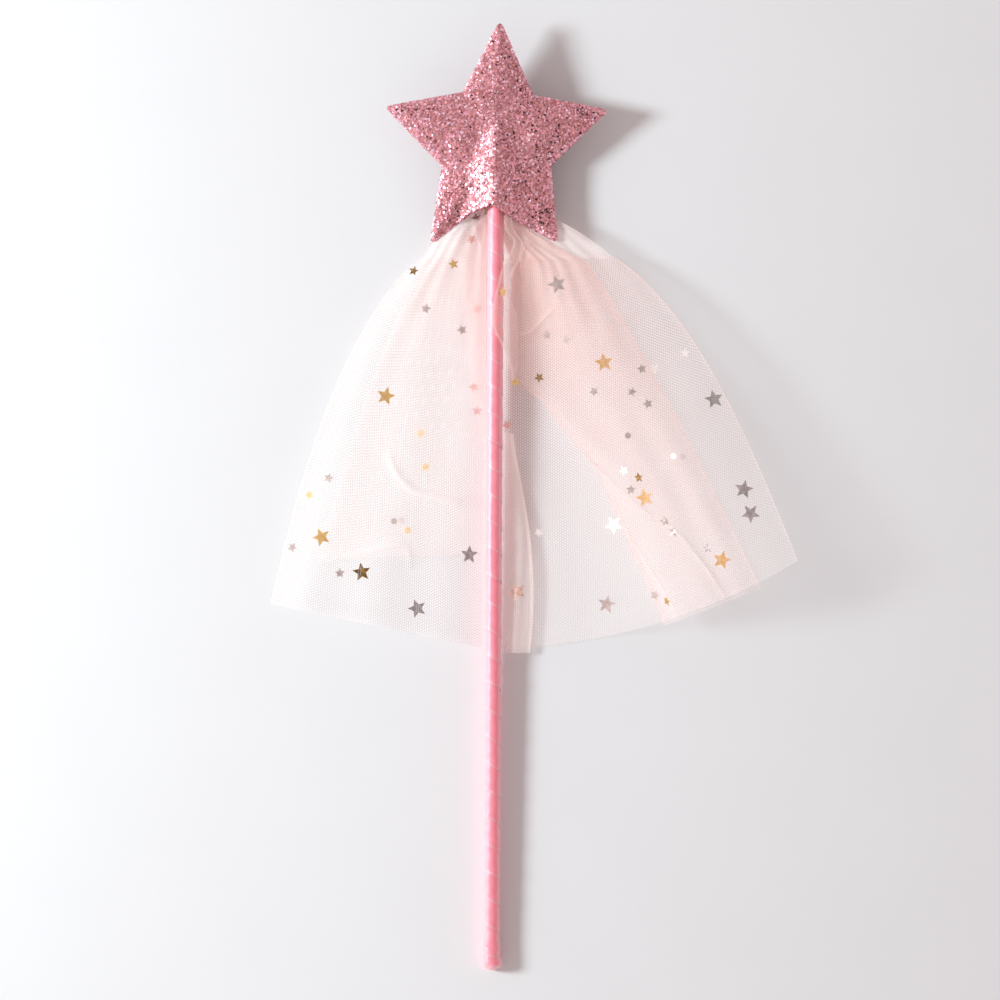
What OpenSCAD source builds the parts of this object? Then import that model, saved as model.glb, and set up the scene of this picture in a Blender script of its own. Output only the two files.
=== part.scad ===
// Toy magic wand lying on a table: a padded glitter star on a dowel wrapped in satin
// ribbon, with a gathered tulle veil that is scattered with foil stars.
// The table is the plane z = 0 and the star points along +Y.

/* [Stick] */
// Diameter of the bare dowel
dowel_d = 6; // [4:0.5:8]
// Distance from the butt end to the middle of the star
star_reach = 350; // [280:5:450]
// How far the dowel runs past the middle of the star
dowel_past_middle = 8; // [3:1:12]
// Height of the stick's axis above the table at the neck
neck_axis_height = 8.2; // [7.8:0.1:14]

/* [Ribbon] */
// Width of one turn of the ribbon, along the stick
ribbon_width = 10.6; // [6:0.2:16]
// Gap between one turn and the next
ribbon_gap = 0.5; // [0.45:0.05:1.5]
// Thickness of the lapped ribbon
ribbon_thickness = 0.36; // [0.25:0.01:0.5]
// Length of the fold that covers the butt end
fold_length = 6; // [4:0.5:10]
// Thickness of the fold across the end of the dowel
fold_wall = 1.2; // [0.8:0.1:2.5]
// Rounding of the fold's end
fold_round = 0.9; // [0.4:0.1:1.5]
// Length of the closing turn above the fold
lock_length = 4; // [3:0.5:10]

/* [Star] */
// Distance from the middle of the star to a tip
star_radius = 50; // [42:1:60]
// Distance from the middle of the star to a notch
star_notch_radius = 25.5; // [23:0.5:30]
// Thickness of one glitter panel
panel_thickness = 0.9; // [0.5:0.1:1.2]
// Inside height of a panel over the padding
star_crown = 2.2; // [2:0.1:3]
// Width of the rim over which a panel falls to its seam
star_rim = 8; // [6:0.5:9]
// Thickness of the padding
padding_thickness = 3; // [1.5:0.1:3.1]
// How far the padding stays inside the star's outline
padding_inset = 4.5; // [4.4:0.1:8]

/* [Veil] */
// Length of the veil along the stick, from the neck to the hem
veil_length = 185; // [140:5:230]
// Reach of the veil to the left of the stick
left_reach = 94; // [70:2:130]
// Reach of the veil to the right of the stick
right_reach = 126; // [90:2:150]
// Thickness of a layer of tulle with its folds
tulle_thickness = 0.8; // [0.5:0.1:1]
// Height of one layer of tulle over the next
layer_step = 2.4; // [2.2:0.1:4]
// Height of the left half's arch
left_crown = 9; // [4:0.5:14]
// Height of the right half's front arch
front_crown = 4; // [2:0.5:8]
// Depth of the folds at the hem
fold_depth = 1.6; // [0.6:0.1:2.4]

/* [Foil] */
// Tip circle of a large foil star
large_star_d = 8.2; // [5:0.2:10]
// Tip circle of a small foil star
small_star_d = 4.6; // [3:0.2:6]
// Diameter of a foil dot
dot_d = 2.6; // [1.5:0.1:4]
// Thickness of the foil
foil_thickness = 0.2; // [0.1:0.05:0.3]

/* [Hidden] */
$fn = 48;

// Clearances
overrun = 1;
close_fit = 0.04;
soft_clearance = 0.2;
table_gap = 0.1;
end_gap = 0.3;
foil_gap = 0.5;

// Stick and ribbon
dowel_r = dowel_d / 2;
ribbon_rings = 12;
ribbon_inner_r = (dowel_r + close_fit) / cos(180 / ribbon_rings);
ribbon_outer_r = ribbon_inner_r + ribbon_thickness;
ribbon_pitch = ribbon_width + ribbon_gap;
lock_r = ribbon_outer_r + ribbon_thickness / 2;
lock_start = fold_length + end_gap;
wrap_start = lock_start + lock_length + end_gap;
dowel_end = star_reach + dowel_past_middle;

// Star
star_points_count = 5;
edge_steps = 6;
half_point = 180 / star_points_count;
star_edge_length = norm([star_radius - star_notch_radius * cos(half_point),
    star_notch_radius * sin(half_point)]);
star_edge_distance = star_radius * star_notch_radius * sin(half_point) / star_edge_length;
ring_shares = [0.15, 0.3, 0.5, 0.7, 0.85, 1];
glue_line = 0.1;
front_bulge = ribbon_outer_r + 3 * soft_clearance;
front_spread_share = 3.2;
front_bulge_width = front_spread_share * ribbon_outer_r;
bulge_fade_share = 3;
padding_scale = 1 - padding_inset / star_edge_distance;
slot_half = ribbon_outer_r + 2 * soft_clearance;
glue_length_share = 0.55;
glue_height_share = 0.86;

// Neck: the heading of the veil lies behind the dowel, inside the star
notch_y = star_reach - star_notch_radius;
neck_gap = 2.5;
neck_y = notch_y - neck_gap;
wrap_end = notch_y + ribbon_pitch / 2;
heading_spread_angle = 130;
straight_back_angle = 90;
heading_start_angle = straight_back_angle - heading_spread_angle / 2;
heading_thickness = 1.5;
heading_inner_r = ribbon_outer_r + soft_clearance;
heading_outer_r = heading_inner_r + heading_thickness;
heading_length = 15;
thread_d = 0.5;
knot_d = 0.9;
thread_run_r = heading_outer_r + soft_clearance + knot_d / 2;
back_bulge = thread_run_r + knot_d / 2 + soft_clearance;
back_spread_share = 2.4;
back_bulge_width = back_spread_share * back_bulge;

// The wand lies with its butt on the table and its neck propped on the gathered tulle
butt_axis_height = lock_r;
lie_angle = atan((neck_axis_height - butt_axis_height) / neck_y);
overall_length = star_reach + star_radius;
stick_x = (left_reach - right_reach) / 2;

// Veil: places along it run from 0 at its top edge to 1 at the hem beside the stick
tip_clearance = 7.5;
veil_top = star_reach - star_radius * cos(half_point) - tip_clearance;
hem_y = neck_y - veil_length;
veil_drop = veil_top - hem_y;
stick_gap = 1;
stick_clear = ribbon_outer_r + stick_gap;
seam_half = 0.6;
hem_bulge = 10;
flare_share = 0.155;
flare_start_angle = 12;
flare_full_angle = 42;
under_depth_share = 0.3;
back_depth_share = 0.5;
arch_start_share = 0.45;
arch_skew_share = 0.8;
arch_reach_share = 0.78;
under_length_share = 0.76;
fold_count = 3;
left_outline_shares = [[0.33, 0], [0.61, 0.13], [0.82, 0.42], [1, 0.89]];
left_under_shares = [[0.32, 0], [0.47, 0.17], [0.66, 0.45], [0.795, 0.78]];
right_outline_shares = [[0.4, 0], [0.635, 0.12], [0.8, 0.375], [1, 0.77]];
front_outline_shares = [[0.3, 0.01], [0.435, 0.16], [0.585, 0.375], [0.88, 0.84]];
front_inside_shares = [[0.05, 0.01], [0.06, 0.24], [0.335, 0.525], [0.57, 0.94]];
strip_outline_shares = [[0.06, 0.45], [0.08, 0.59], [0.16, 0.74], [0.12, 1]];
strip_crown = 1.2;

// Ruffle: the fold of the right half that laps over the front of the stick
ruffle_drop_share = 0.3;
ruffle_skew_share = 0.7;
ruffle_rim_r = 10;
ruffle_lap_r = stick_clear + tulle_thickness / 2;
ruffle_rim_angle = -12;
ruffle_lap_angles = [34, 74, 70, 36];

// Gather: the bunched cloth from the neck to the top of the two halves
gather_thickness = 1.4;
gather_top_r = (heading_inner_r + heading_outer_r) / 2 + soft_clearance;
gather_left_share = 0.32;
gather_right_share = 0.38;
gather_ease_share = 1.1;
gather_fold = 1;
gather_fold_count = 9;
pad_half = 14;
pad_fade = 16;
pad_cut = 0.5;
left_shoulder = 4;

// Foil places, as shares across and along the layer that carries them, and a turn
left_gold_large_shares = [[0.686, 0.481, 12], [0.833, 0.851, 40], [0.606, 0.896, 25]];
left_gold_small_shares = [[0.922, 0.077, 0], [0.467, 0.025, 20], [0.945, 0.776, 50], [0.425, 0.529, 30],
    [0.364, 0.605, 8]];
left_silver_large_shares = [[0.077, 0.775, 15], [0.32, 0.941, 33]];
left_silver_small_shares = [[0.603, 0.193, 10], [0.224, 0.21, 44], [0.872, 0.726, 5], [0.96, 0.888, 60],
    [0.71, 0.911, 18], [0.083, 0.344, 28], [0.06, 0.402, 3]];
left_dot_shares = [[0.493, 0.764, 0], [0.453, 0.755, 0], [0.414, 0.773, 0]];
front_gold_large_shares = [[0.616, 0.407, 8], [0.367, 0.754, 22], [0.776, 0.929, 50]];
front_gold_small_shares = [[0.05, 0.385, 30], [0.403, 0.709, 14], [0.123, 0.958, 40]];
front_silver_large_shares = [[0.515, 0.103, 20]];
front_silver_small_shares = [[0.206, 0.272, 5], [0.372, 0.302, 48], [0.396, 0.473, 33], [0.928, 0.464, 12],
    [0.73, 0.514, 60], [0.815, 0.56, 26], [0.28, 0.725, 9], [0.441, 0.815, 17], [0.472, 0.843, 55],
    [0.705, 0.899, 2], [0.041, 0.939, 36]];
front_dot_shares = [[0.494, 0.611, 0], [0.807, 0.701, 0], [0.883, 0.712, 0]];
back_silver_large_shares = [[0.466, 0.754, 16], [0.395, 0.929, 47], [0.928, 0.81, 30], [0.921, 0.864, 6],
    [0.958, 0.581, 52]];
back_silver_small_shares = [[0.176, 0.722, 22], [0.545, 0.638, 9], [0.793, 0.426, 11], [0.942, 0.427, 39],
    [0.055, 0.434, 14]];
strip_silver_large_shares = [[0.45, 0.8, 24]];
ruffle_gold_small_shares = [[0.9, 0.295, 10]];
neck_star_shares = [0.1, 0.3, 15];
foil_waist_share = 0.45;
probe_share = 0.01;
seat_angles = [0 : 30 : 330];
seat_ring_shares = [0.5, 1];

// Steps across and along each layer
left_upper_steps = [14, 11];
left_under_steps = [9, 8];
right_back_steps = [14, 11];
right_front_steps = [12, 10];
right_strip_steps = [3, 8];
right_ruffle_steps = [4, 8];
gather_steps = [22, 5];

// Plain functions
function mix(a, b, t) = a + (b - a) * t;
function clamp(t) = max(0, min(1, t));
function ease(a, b, x) = let (t = clamp((x - a) / (b - a))) t * t * (3 - 2 * t);
function bezier(p, t) = p[0] * pow(1 - t, 3) + p[1] * 3 * t * pow(1 - t, 2)
    + p[2] * 3 * t * t * (1 - t) + p[3] * pow(t, 3);
function polar(r, a) = [r * cos(a), r * sin(a)];
function star_outline(tip, notch) = [for (i = [0 : 2 * star_points_count - 1])
    polar(i % 2 == 0 ? tip : notch, 90 + i * half_point)];
function axis_z(y) = butt_axis_height + y * tan(lie_angle);

// Ribbon: one flat band in a left-handed helix round the dowel
ring_count = floor(ribbon_rings * (wrap_end - wrap_start - ribbon_width) / ribbon_pitch);
function ribbon_point(i, r, side) = let (a = 360 * i / ribbon_rings)
    [-r * sin(a), wrap_start + ribbon_pitch * i / ribbon_rings + ribbon_width * side, r * cos(a)];
ribbon_points = [for (i = [0 : ring_count]) each [ribbon_point(i, ribbon_inner_r, 0),
    ribbon_point(i, ribbon_inner_r, 1), ribbon_point(i, ribbon_outer_r, 1),
    ribbon_point(i, ribbon_outer_r, 0)]];
ribbon_faces = [for (i = [0 : ring_count - 1]) for (k = [0 : 3])
    let (a = 4 * i + k, b = 4 * i + (k + 1) % 4) each [[a, b, a + 4], [b, b + 4, a + 4]]];
ribbon_last = 4 * ring_count;
ribbon_caps = [[0, 2, 1], [0, 3, 2], [ribbon_last, ribbon_last + 1, ribbon_last + 2],
    [ribbon_last, ribbon_last + 2, ribbon_last + 3]];
ribbon_least_gap = min([for (i = [0 : ring_count - ribbon_rings]) for (j = [1, 2])
    norm(ribbon_points[4 * i + j] - ribbon_points[4 * (i + ribbon_rings) + 3 * (j - 1)])]);
echo("least gap of the ribbon to itself, mm", ribbon_least_gap);

// Star panels: rings of points from the middle out, raised by the padding and the stick
star_steps = 2 * star_points_count * edge_steps;
function star_rim_point(k) = let (i = floor(k / edge_steps), f = k / edge_steps - i,
    corners = star_outline(star_radius, star_notch_radius))
    mix(corners[i % len(corners)], corners[(i + 1) % len(corners)], f);
function crown_height(s) = let (start = 1 - star_rim / star_edge_distance,
    t = clamp((s - start) / (1 - start))) glue_line / 2 + star_crown * (1 - t * t);
function bulge_height(p, height, width) = let (c = cos(90 * min(1, abs(p[0]) / width)))
    height * c * c * (1 - ease(dowel_past_middle, bulge_fade_share * dowel_past_middle, p[1]));
function panel_height(p, s, bulge, width) = let (a = crown_height(s), b = bulge_height(p, bulge, width))
    pow(pow(a, 4) + pow(b, 4), 0.25);
function panel_points(bulge, width, lift) = concat(
    [[0, 0, panel_height([0, 0], 0, bulge, width) + lift]],
    [for (s = ring_shares) for (k = [0 : star_steps - 1]) let (p = s * star_rim_point(k))
        [p[0], p[1], panel_height(p, s, bulge, width) + lift]]);
panel_size = 1 + len(ring_shares) * star_steps;
function panel_index(r, k) = 1 + r * star_steps + k % star_steps;
panel_skin = concat(
    [for (k = [0 : star_steps - 1]) [0, panel_index(0, k + 1), panel_index(0, k)]],
    [for (r = [0 : len(ring_shares) - 2]) for (k = [0 : star_steps - 1]) each [
        [panel_index(r, k), panel_index(r, k + 1), panel_index(r + 1, k)],
        [panel_index(r, k + 1), panel_index(r + 1, k + 1), panel_index(r + 1, k)]]]);
panel_rim = [for (k = [0 : star_steps - 1]) let (r = len(ring_shares) - 1) each [
    [panel_index(r, k), panel_index(r, k + 1), panel_size + panel_index(r, k)],
    [panel_index(r, k + 1), panel_size + panel_index(r, k + 1), panel_size + panel_index(r, k)]]];
panel_faces = concat(panel_skin, [for (f = panel_skin) [for (j = [2, 1, 0]) f[j] + panel_size]],
    panel_rim);

// Veil layers: a place is [x from the stick, y from the butt end, height above the table]
function veil_y(share) = veil_top - veil_drop * share;
function veil_edge(shares, reach, v) = let (p = bezier(shares, v)) [p[0] * reach, veil_y(p[1])];
function along_stick(x, v) = [x, veil_y(v)];
function flare(p) = let (drop = neck_y - p[1]) flare_share * norm([p[0], drop])
    * ease(flare_start_angle, flare_full_angle, atan2(p[0], drop));
function folds(u, count, depth) = depth * (1 - cos(360 * count * u)) / 2;
function raised(p, z) = [p[0], p[1], z];
layer_base = table_gap + tulle_thickness / 2;

left_upper = function (u, v) let (p = mix(along_stick(-stick_clear, v),
    veil_edge(left_outline_shares, -left_reach, v), u))
    raised(p, layer_base + layer_step + folds(u, fold_count, fold_depth * v)
        + left_crown * mix(arch_start_share, 1, v) * sin(180 * arch_reach_share * pow(u, arch_skew_share)));
left_under = function (u, v) let (p = mix(along_stick(-seam_half, under_length_share * v),
    veil_edge(left_under_shares, -left_reach, v), u))
    raised(p, layer_base + folds(u, fold_count, under_depth_share * fold_depth * v));
right_back = function (u, v) let (q = mix(along_stick(seam_half, v),
    veil_edge(right_outline_shares, right_reach, v), u),
    p = [q[0], q[1] - hem_bulge * 4 * u * (1 - u) * v])
    raised(p, layer_base + flare(p) + folds(u, fold_count, back_depth_share * fold_depth * v));
right_front = function (u, v) let (p = mix(veil_edge(front_inside_shares, right_reach, v),
    veil_edge(front_outline_shares, right_reach, v), u))
    raised(p, layer_base + layer_step + flare(p) + folds(u, fold_count, fold_depth * v)
        + front_crown * mix(arch_start_share, 1, v) * sin(180 * u));
right_strip = function (u, v) let (edge = veil_edge(strip_outline_shares, right_reach, v),
    p = mix([stick_clear, edge[1]], edge, u))
    raised(p, layer_base + layer_step + strip_crown * sin(180 * u));
right_ruffle = function (u, v) let (a = mix(ruffle_rim_angle, bezier(ruffle_lap_angles, v), u),
    r = mix(ruffle_rim_r, ruffle_lap_r, pow(u, ruffle_skew_share)), y = veil_y(ruffle_drop_share * v))
    [r * cos(a), y, axis_z(y) + r * sin(a)];
gather = function (u, v) let (a = 180 + heading_start_angle + heading_spread_angle * u,
    top = polar(gather_top_r, a), y = mix(neck_y - neck_gap, veil_top + end_gap, v),
    wide = mix(-gather_left_share * left_reach, gather_right_share * right_reach, u),
    side = ease(pad_half, pad_half + pad_fade, abs(wide)),
    low = gather_thickness / 2 - pad_cut + side * (gather_fold * (1 + sin(360 * gather_fold_count * u))
        + (wide < 0 ? left_shoulder : flare([wide, y]))))
    [mix(top[0], wide, pow(v, gather_ease_share)), y,
        mix(axis_z(y) + top[1], low, ease(0, 1, v))];

// A layer as it is made, with flat facets between its points
function faceted(cloth, steps) = function (u, v) let (
    i = min(floor(u * steps[0]), steps[0] - 1), j = min(floor(v * steps[1]), steps[1] - 1),
    s = u * steps[0] - i, t = v * steps[1] - j,
    a = cloth((i + 1) / steps[0], j / steps[1]), b = cloth(i / steps[0], (j + 1) / steps[1]),
    c = s + t < 1 ? cloth(i / steps[0], j / steps[1]) : cloth((i + 1) / steps[0], (j + 1) / steps[1]))
    s + t < 1 ? c + (a - c) * s + (b - c) * t : c + (b - c) * (1 - s) + (a - c) * (1 - t);

module layer(cloth, steps, thickness) {
    across = steps[0];
    along = steps[1];
    places = [for (i = [0 : across]) for (j = [0 : along]) cloth(i / across, j / along)];
    up = [0, 0, thickness / 2];
    row = along + 1;
    size = len(places);
    skin = [for (i = [0 : across - 1]) for (j = [0 : along - 1]) let (a = i * row + j) each [
        [a, a + row, a + 1], [a + row, a + row + 1, a + 1]]];
    rim = concat([for (i = [0 : across - 1]) i * row], [for (j = [0 : along - 1]) across * row + j],
        [for (i = [across : -1 : 1]) i * row + along], [for (j = [along : -1 : 1]) j]);
    sides = [for (k = [0 : len(rim) - 1]) let (a = rim[k], b = rim[(k + 1) % len(rim)]) each [
        [a, a + size, b], [b, a + size, b + size]]];
    turn = cloth(1, 0)[0] > cloth(0, 0)[0] ? [0, 1, 2] : [2, 1, 0];
    faces = concat(skin, [for (f = skin) [f[2], f[1], f[0]] + [size, size, size]], sides);
    polyhedron(points = concat([for (p = places) p + up], [for (p = places) p - up]),
        faces = [for (f = faces) [for (j = turn) f[j]]]);
}

// Lays the wand's own pieces on the table, from a frame with the stick along Y
module lay() {
    translate([stick_x, -overall_length / 2, butt_axis_height]) rotate([lie_angle, 0, 0]) children();
}

// Places the veil, which is drawn over the table
module spread() {
    translate([stick_x, -overall_length / 2, 0]) children();
}

// Turns a shape that is drawn up the Z axis to lie along the stick from y
module along(y) {
    translate([0, y, 0]) rotate([-90, 0, 0]) children();
}

// Seats a foil shape on the upper face of a layer at one of its places, over the highest cloth under it
module seated(cloth, steps, place, d, thickness) {
    facet = faceted(cloth, steps);
    u = place[0];
    v = place[1];
    p = facet(u, v);
    across = facet(clamp(u + probe_share), v) - facet(clamp(u - probe_share), v);
    down = facet(u, clamp(v + probe_share)) - facet(u, clamp(v - probe_share));
    c = cross(across, down);
    n = c / norm(c) * sign(c[2]);
    reach = probe_share * d * [1 / norm(across), 1 / norm(down)];
    rise = max([for (a = seat_angles) for (s = seat_ring_shares)
        (facet(clamp(u + s * reach[0] * cos(a)), clamp(v + s * reach[1] * sin(a))) - p) * n]);
    translate(p + n * (thickness / 2 + foil_gap + max(0, rise)))
        rotate([0, acos(n[2]), atan2(n[1], n[0])]) rotate([0, 0, place[2]]) children();
}

module foil_star(d) {
    linear_extrude(foil_thickness) polygon(star_outline(d / 2, foil_waist_share * d / 2));
}

module foil_stars(cloth, steps, places, d) {
    for (place = places) seated(cloth, steps, place, d, tulle_thickness) foil_star(d);
}

module foil_dots(cloth, steps, places) {
    for (place = places) seated(cloth, steps, place, dot_d, tulle_thickness)
        cylinder(d = dot_d, h = foil_thickness);
}

module dowel() {
    color("burlywood") lay() along(fold_wall) cylinder(r = dowel_r, h = dowel_end - fold_wall);
}

module ribbon_wrap() {
    color("pink") lay() polyhedron(points = ribbon_points, faces = concat(ribbon_faces, ribbon_caps));
}

module ribbon_lock_turn() {
    color("lightpink") lay() along(lock_start) difference() {
        cylinder(r = lock_r, h = lock_length);
        translate([0, 0, -overrun]) cylinder(r = dowel_r + close_fit, h = lock_length + 2 * overrun);
    }
}

module ribbon_butt_fold() {
    color("lightpink") lay() along(0) difference() {
        union() {
            translate([0, 0, fold_round]) cylinder(r = lock_r, h = fold_length - fold_round);
            cylinder(r = lock_r - fold_round, h = fold_length);
            translate([0, 0, fold_round]) rotate_extrude() translate([lock_r - fold_round, 0])
                circle(r = fold_round);
        }
        translate([0, 0, fold_wall]) cylinder(r = dowel_r + close_fit, h = fold_length);
    }
}

module star_panel(bulge, width) {
    polyhedron(points = concat(panel_points(bulge, width, panel_thickness), panel_points(bulge, width, 0)),
        faces = panel_faces);
}

module star_front_panel() {
    color("palevioletred") lay() translate([0, star_reach, 0]) star_panel(front_bulge, front_bulge_width);
}

module star_back_panel() {
    color("rosybrown") lay() translate([0, star_reach, 0]) mirror([0, 0, 1])
        star_panel(back_bulge, back_bulge_width);
}

module star_padding() {
    slot_top = dowel_past_middle + soft_clearance;
    color("white") lay() translate([0, star_reach, -padding_thickness / 2]) difference() {
        linear_extrude(padding_thickness)
            polygon(star_outline(padding_scale * star_radius, padding_scale * star_notch_radius));
        translate([-slot_half, -star_radius, -overrun])
            cube([2 * slot_half, star_radius + slot_top, padding_thickness + 2 * overrun]);
    }
}

module glue_beads() {
    bead_length = glue_length_share * star_notch_radius;
    bead_height = glue_height_share * padding_thickness;
    color("ivory") lay() difference() {
        translate([-slot_half, dowel_end - bead_length, -bead_height / 2])
            cube([2 * slot_half, bead_length, bead_height]);
        along(dowel_end - bead_length - overrun)
            cylinder(r = dowel_r + close_fit, h = bead_length + 2 * overrun);
    }
}

module tulle_heading() {
    color("mistyrose") lay() along(neck_y - neck_gap + end_gap) rotate([0, 0, heading_start_angle])
        rotate_extrude(angle = heading_spread_angle) translate([heading_inner_r, 0])
            square([heading_thickness, heading_length]);
}

module gathering_thread() {
    color("white") lay() along(neck_y - neck_gap + heading_length / 2) rotate([0, 0, heading_start_angle]) {
        rotate_extrude(angle = heading_spread_angle) translate([thread_run_r, 0]) circle(d = thread_d);
        for (a = [0, heading_spread_angle]) rotate([0, 0, a]) translate([thread_run_r, 0, 0])
            sphere(d = knot_d);
    }
}

module tulle_gather() {
    color("mistyrose") spread() intersection() {
        layer(gather, gather_steps, gather_thickness);
        translate([-right_reach, 0, 0]) cube([2 * right_reach, overall_length, overall_length]);
    }
}

module neck_silver_star() {
    color("silver") spread() seated(gather, gather_steps, neck_star_shares, small_star_d, gather_thickness)
        foil_star(small_star_d);
}

module tulle_left_upper() {
    color("mistyrose") spread() layer(left_upper, left_upper_steps, tulle_thickness);
}

module tulle_left_under() {
    color("mistyrose") spread() layer(left_under, left_under_steps, tulle_thickness);
}

module left_gold_large_stars() {
    color("gold") spread() foil_stars(left_upper, left_upper_steps, left_gold_large_shares, large_star_d);
}

module left_gold_small_stars() {
    color("gold") spread() foil_stars(left_upper, left_upper_steps, left_gold_small_shares, small_star_d);
}

module left_silver_large_stars() {
    color("silver") spread() foil_stars(left_upper, left_upper_steps, left_silver_large_shares, large_star_d);
}

module left_silver_small_stars() {
    color("silver") spread() foil_stars(left_upper, left_upper_steps, left_silver_small_shares, small_star_d);
}

module left_foil_dots() {
    color("silver") spread() foil_dots(left_upper, left_upper_steps, left_dot_shares);
}

module tulle_right_back() {
    color("mistyrose") spread() layer(right_back, right_back_steps, tulle_thickness);
}

module tulle_right_front() {
    color("mistyrose") spread() layer(right_front, right_front_steps, tulle_thickness);
}

module tulle_right_strip() {
    color("mistyrose") spread() layer(right_strip, right_strip_steps, tulle_thickness);
}

module tulle_right_ruffle() {
    color("mistyrose") spread() layer(right_ruffle, right_ruffle_steps, tulle_thickness);
}

module right_gold_large_stars() {
    color("gold") spread() foil_stars(right_front, right_front_steps, front_gold_large_shares, large_star_d);
}

module right_gold_small_stars() {
    color("gold") spread() {
        foil_stars(right_front, right_front_steps, front_gold_small_shares, small_star_d);
        foil_stars(right_ruffle, right_ruffle_steps, ruffle_gold_small_shares, small_star_d);
    }
}

module right_silver_large_stars() {
    color("silver") spread() {
        foil_stars(right_front, right_front_steps, front_silver_large_shares, large_star_d);
        foil_stars(right_back, right_back_steps, back_silver_large_shares, large_star_d);
        foil_stars(right_strip, right_strip_steps, strip_silver_large_shares, large_star_d);
    }
}

module right_silver_small_stars() {
    color("silver") spread() {
        foil_stars(right_front, right_front_steps, front_silver_small_shares, small_star_d);
        foil_stars(right_back, right_back_steps, back_silver_small_shares, small_star_d);
    }
}

module right_foil_dots() {
    color("silver") spread() foil_dots(right_front, right_front_steps, front_dot_shares);
}

dowel();
ribbon_wrap();
ribbon_lock_turn();
ribbon_butt_fold();
star_front_panel();
star_back_panel();
star_padding();
glue_beads();
tulle_heading();
gathering_thread();
tulle_gather();
neck_silver_star();
tulle_left_upper();
tulle_left_under();
left_gold_large_stars();
left_gold_small_stars();
left_silver_large_stars();
left_silver_small_stars();
left_foil_dots();
tulle_right_back();
tulle_right_front();
tulle_right_strip();
tulle_right_ruffle();
right_gold_large_stars();
right_gold_small_stars();
right_silver_large_stars();
right_silver_small_stars();
right_foil_dots();
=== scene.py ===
# Toy magic wand: glitter star, ribbon-wrapped stick and a tulle veil strewn with foil stars.
# Lengths are in millimetres until a mesh is made, then in metres.
import math

import bpy
import numpy as np
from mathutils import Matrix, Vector


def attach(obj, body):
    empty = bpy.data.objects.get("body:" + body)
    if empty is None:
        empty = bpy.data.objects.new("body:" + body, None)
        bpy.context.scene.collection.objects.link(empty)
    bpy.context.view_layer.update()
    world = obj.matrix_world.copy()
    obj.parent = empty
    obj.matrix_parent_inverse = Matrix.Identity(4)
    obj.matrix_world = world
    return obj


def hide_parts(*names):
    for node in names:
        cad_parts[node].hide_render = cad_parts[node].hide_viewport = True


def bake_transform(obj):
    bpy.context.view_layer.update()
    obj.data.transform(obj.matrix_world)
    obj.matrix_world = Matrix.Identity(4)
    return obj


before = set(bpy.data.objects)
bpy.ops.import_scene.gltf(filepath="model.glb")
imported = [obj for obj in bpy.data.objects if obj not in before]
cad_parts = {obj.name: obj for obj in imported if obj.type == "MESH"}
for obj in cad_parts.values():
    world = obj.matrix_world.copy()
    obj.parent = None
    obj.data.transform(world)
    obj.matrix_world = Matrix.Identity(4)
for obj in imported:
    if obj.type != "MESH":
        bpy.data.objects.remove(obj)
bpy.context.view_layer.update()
millimetre = 0.001
print("frame loaded with", len(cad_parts), "nodes")

# Where the wand lies: the stick's line over the table and the marks along it, from the butt
wand = {
    "stickX": -16.0,
    "buttY": -200.0,
    "buttHeight": 3.687,
    "tilt": math.radians(0.802935),
    "starReach": 350.0,
    "neckY": 322.0,
    "gatherY": 319.5,
    "veilTop": 302.049,
    "hemY": 137.0,
    "ribbonRadius": 3.507,
    "stickClear": 4.507,
    # Marks along the stick for a bend in a lifted half of the veil
    "bendFrom": 300.0,
    "bendTo": 256.0,
    "bendHeight": 8.0,
}


def linear(hexColour):
    parts = [int(hexColour[i : i + 2], 16) / 255 for i in (1, 3, 5)]
    return (*[c / 12.92 if c <= 0.04045 else ((c + 0.055) / 1.055) ** 2.4 for c in parts], 1.0)


# Values, sockets or nodes, by their first output, go into a node's sockets
def setInputs(tree, node, inputs):
    for key, value in inputs.items():
        if isinstance(value, bpy.types.Node):
            value = value.outputs[0]
        if isinstance(value, bpy.types.NodeSocket):
            tree.links.new(value, node.inputs[key])
        else:
            node.inputs[key].default_value = value


# Adds a node with its settings and links, and for a ramp its colours at their stops
def addNode(tree, kind, inputs=None, stops=(), **settings):
    node = tree.nodes.new(kind)
    for key, value in settings.items():
        setattr(node, key, value)
    setInputs(tree, node, inputs or {})
    if stops:
        elements = node.color_ramp.elements
        while len(elements) < len(stops):
            elements.new(1.0)
        for element, (place, colour) in zip(elements, stops):
            element.position, element.color = place, linear(colour)
    return node


def startMaterial(name, **sockets):
    material = bpy.data.materials.new(name)
    material.use_nodes = True
    tree = material.node_tree
    shader = tree.nodes["Principled BSDF"]
    setInputs(tree, shader, {key.replace("_", " "): value for key, value in sockets.items()})
    return material, tree, shader


def mix(a, b, t):
    return a + (b - a) * t


def ease(a, b, x):
    t = np.clip((x - a) / (b - a), 0, 1)
    return t * t * (3 - 2 * t)


def axisHeight(y):
    return wand["buttHeight"] + y * math.tan(wand["tilt"])


# From the wand's own frame, with the stick along Y, to the table
def layWand(points):
    x, y, z = np.asarray(points, float).reshape(-1, 3).T
    c, s = math.cos(wand["tilt"]), math.sin(wand["tilt"])
    laid = [x + wand["stickX"], y * c - z * s + wand["buttY"], y * s + z * c + wand["buttHeight"]]
    return np.stack(laid, axis=1) * millimetre


# The veil is drawn straight over the table
def layVeil(points):
    flat = np.asarray(points, float).reshape(-1, 3)
    return (flat + [wand["stickX"], wand["buttY"], 0]) * millimetre


def gridFaces(rows, columns, roundAlong=False):
    lastColumn = columns if roundAlong else columns - 1
    i, j = np.meshgrid(np.arange(rows - 1), np.arange(lastColumn), indexing="ij")
    k = (j + 1) % columns
    corners = [i * columns + j, (i + 1) * columns + j, (i + 1) * columns + k, i * columns + k]
    return np.stack(corners, axis=-1).reshape(-1, 4).tolist()


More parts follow.
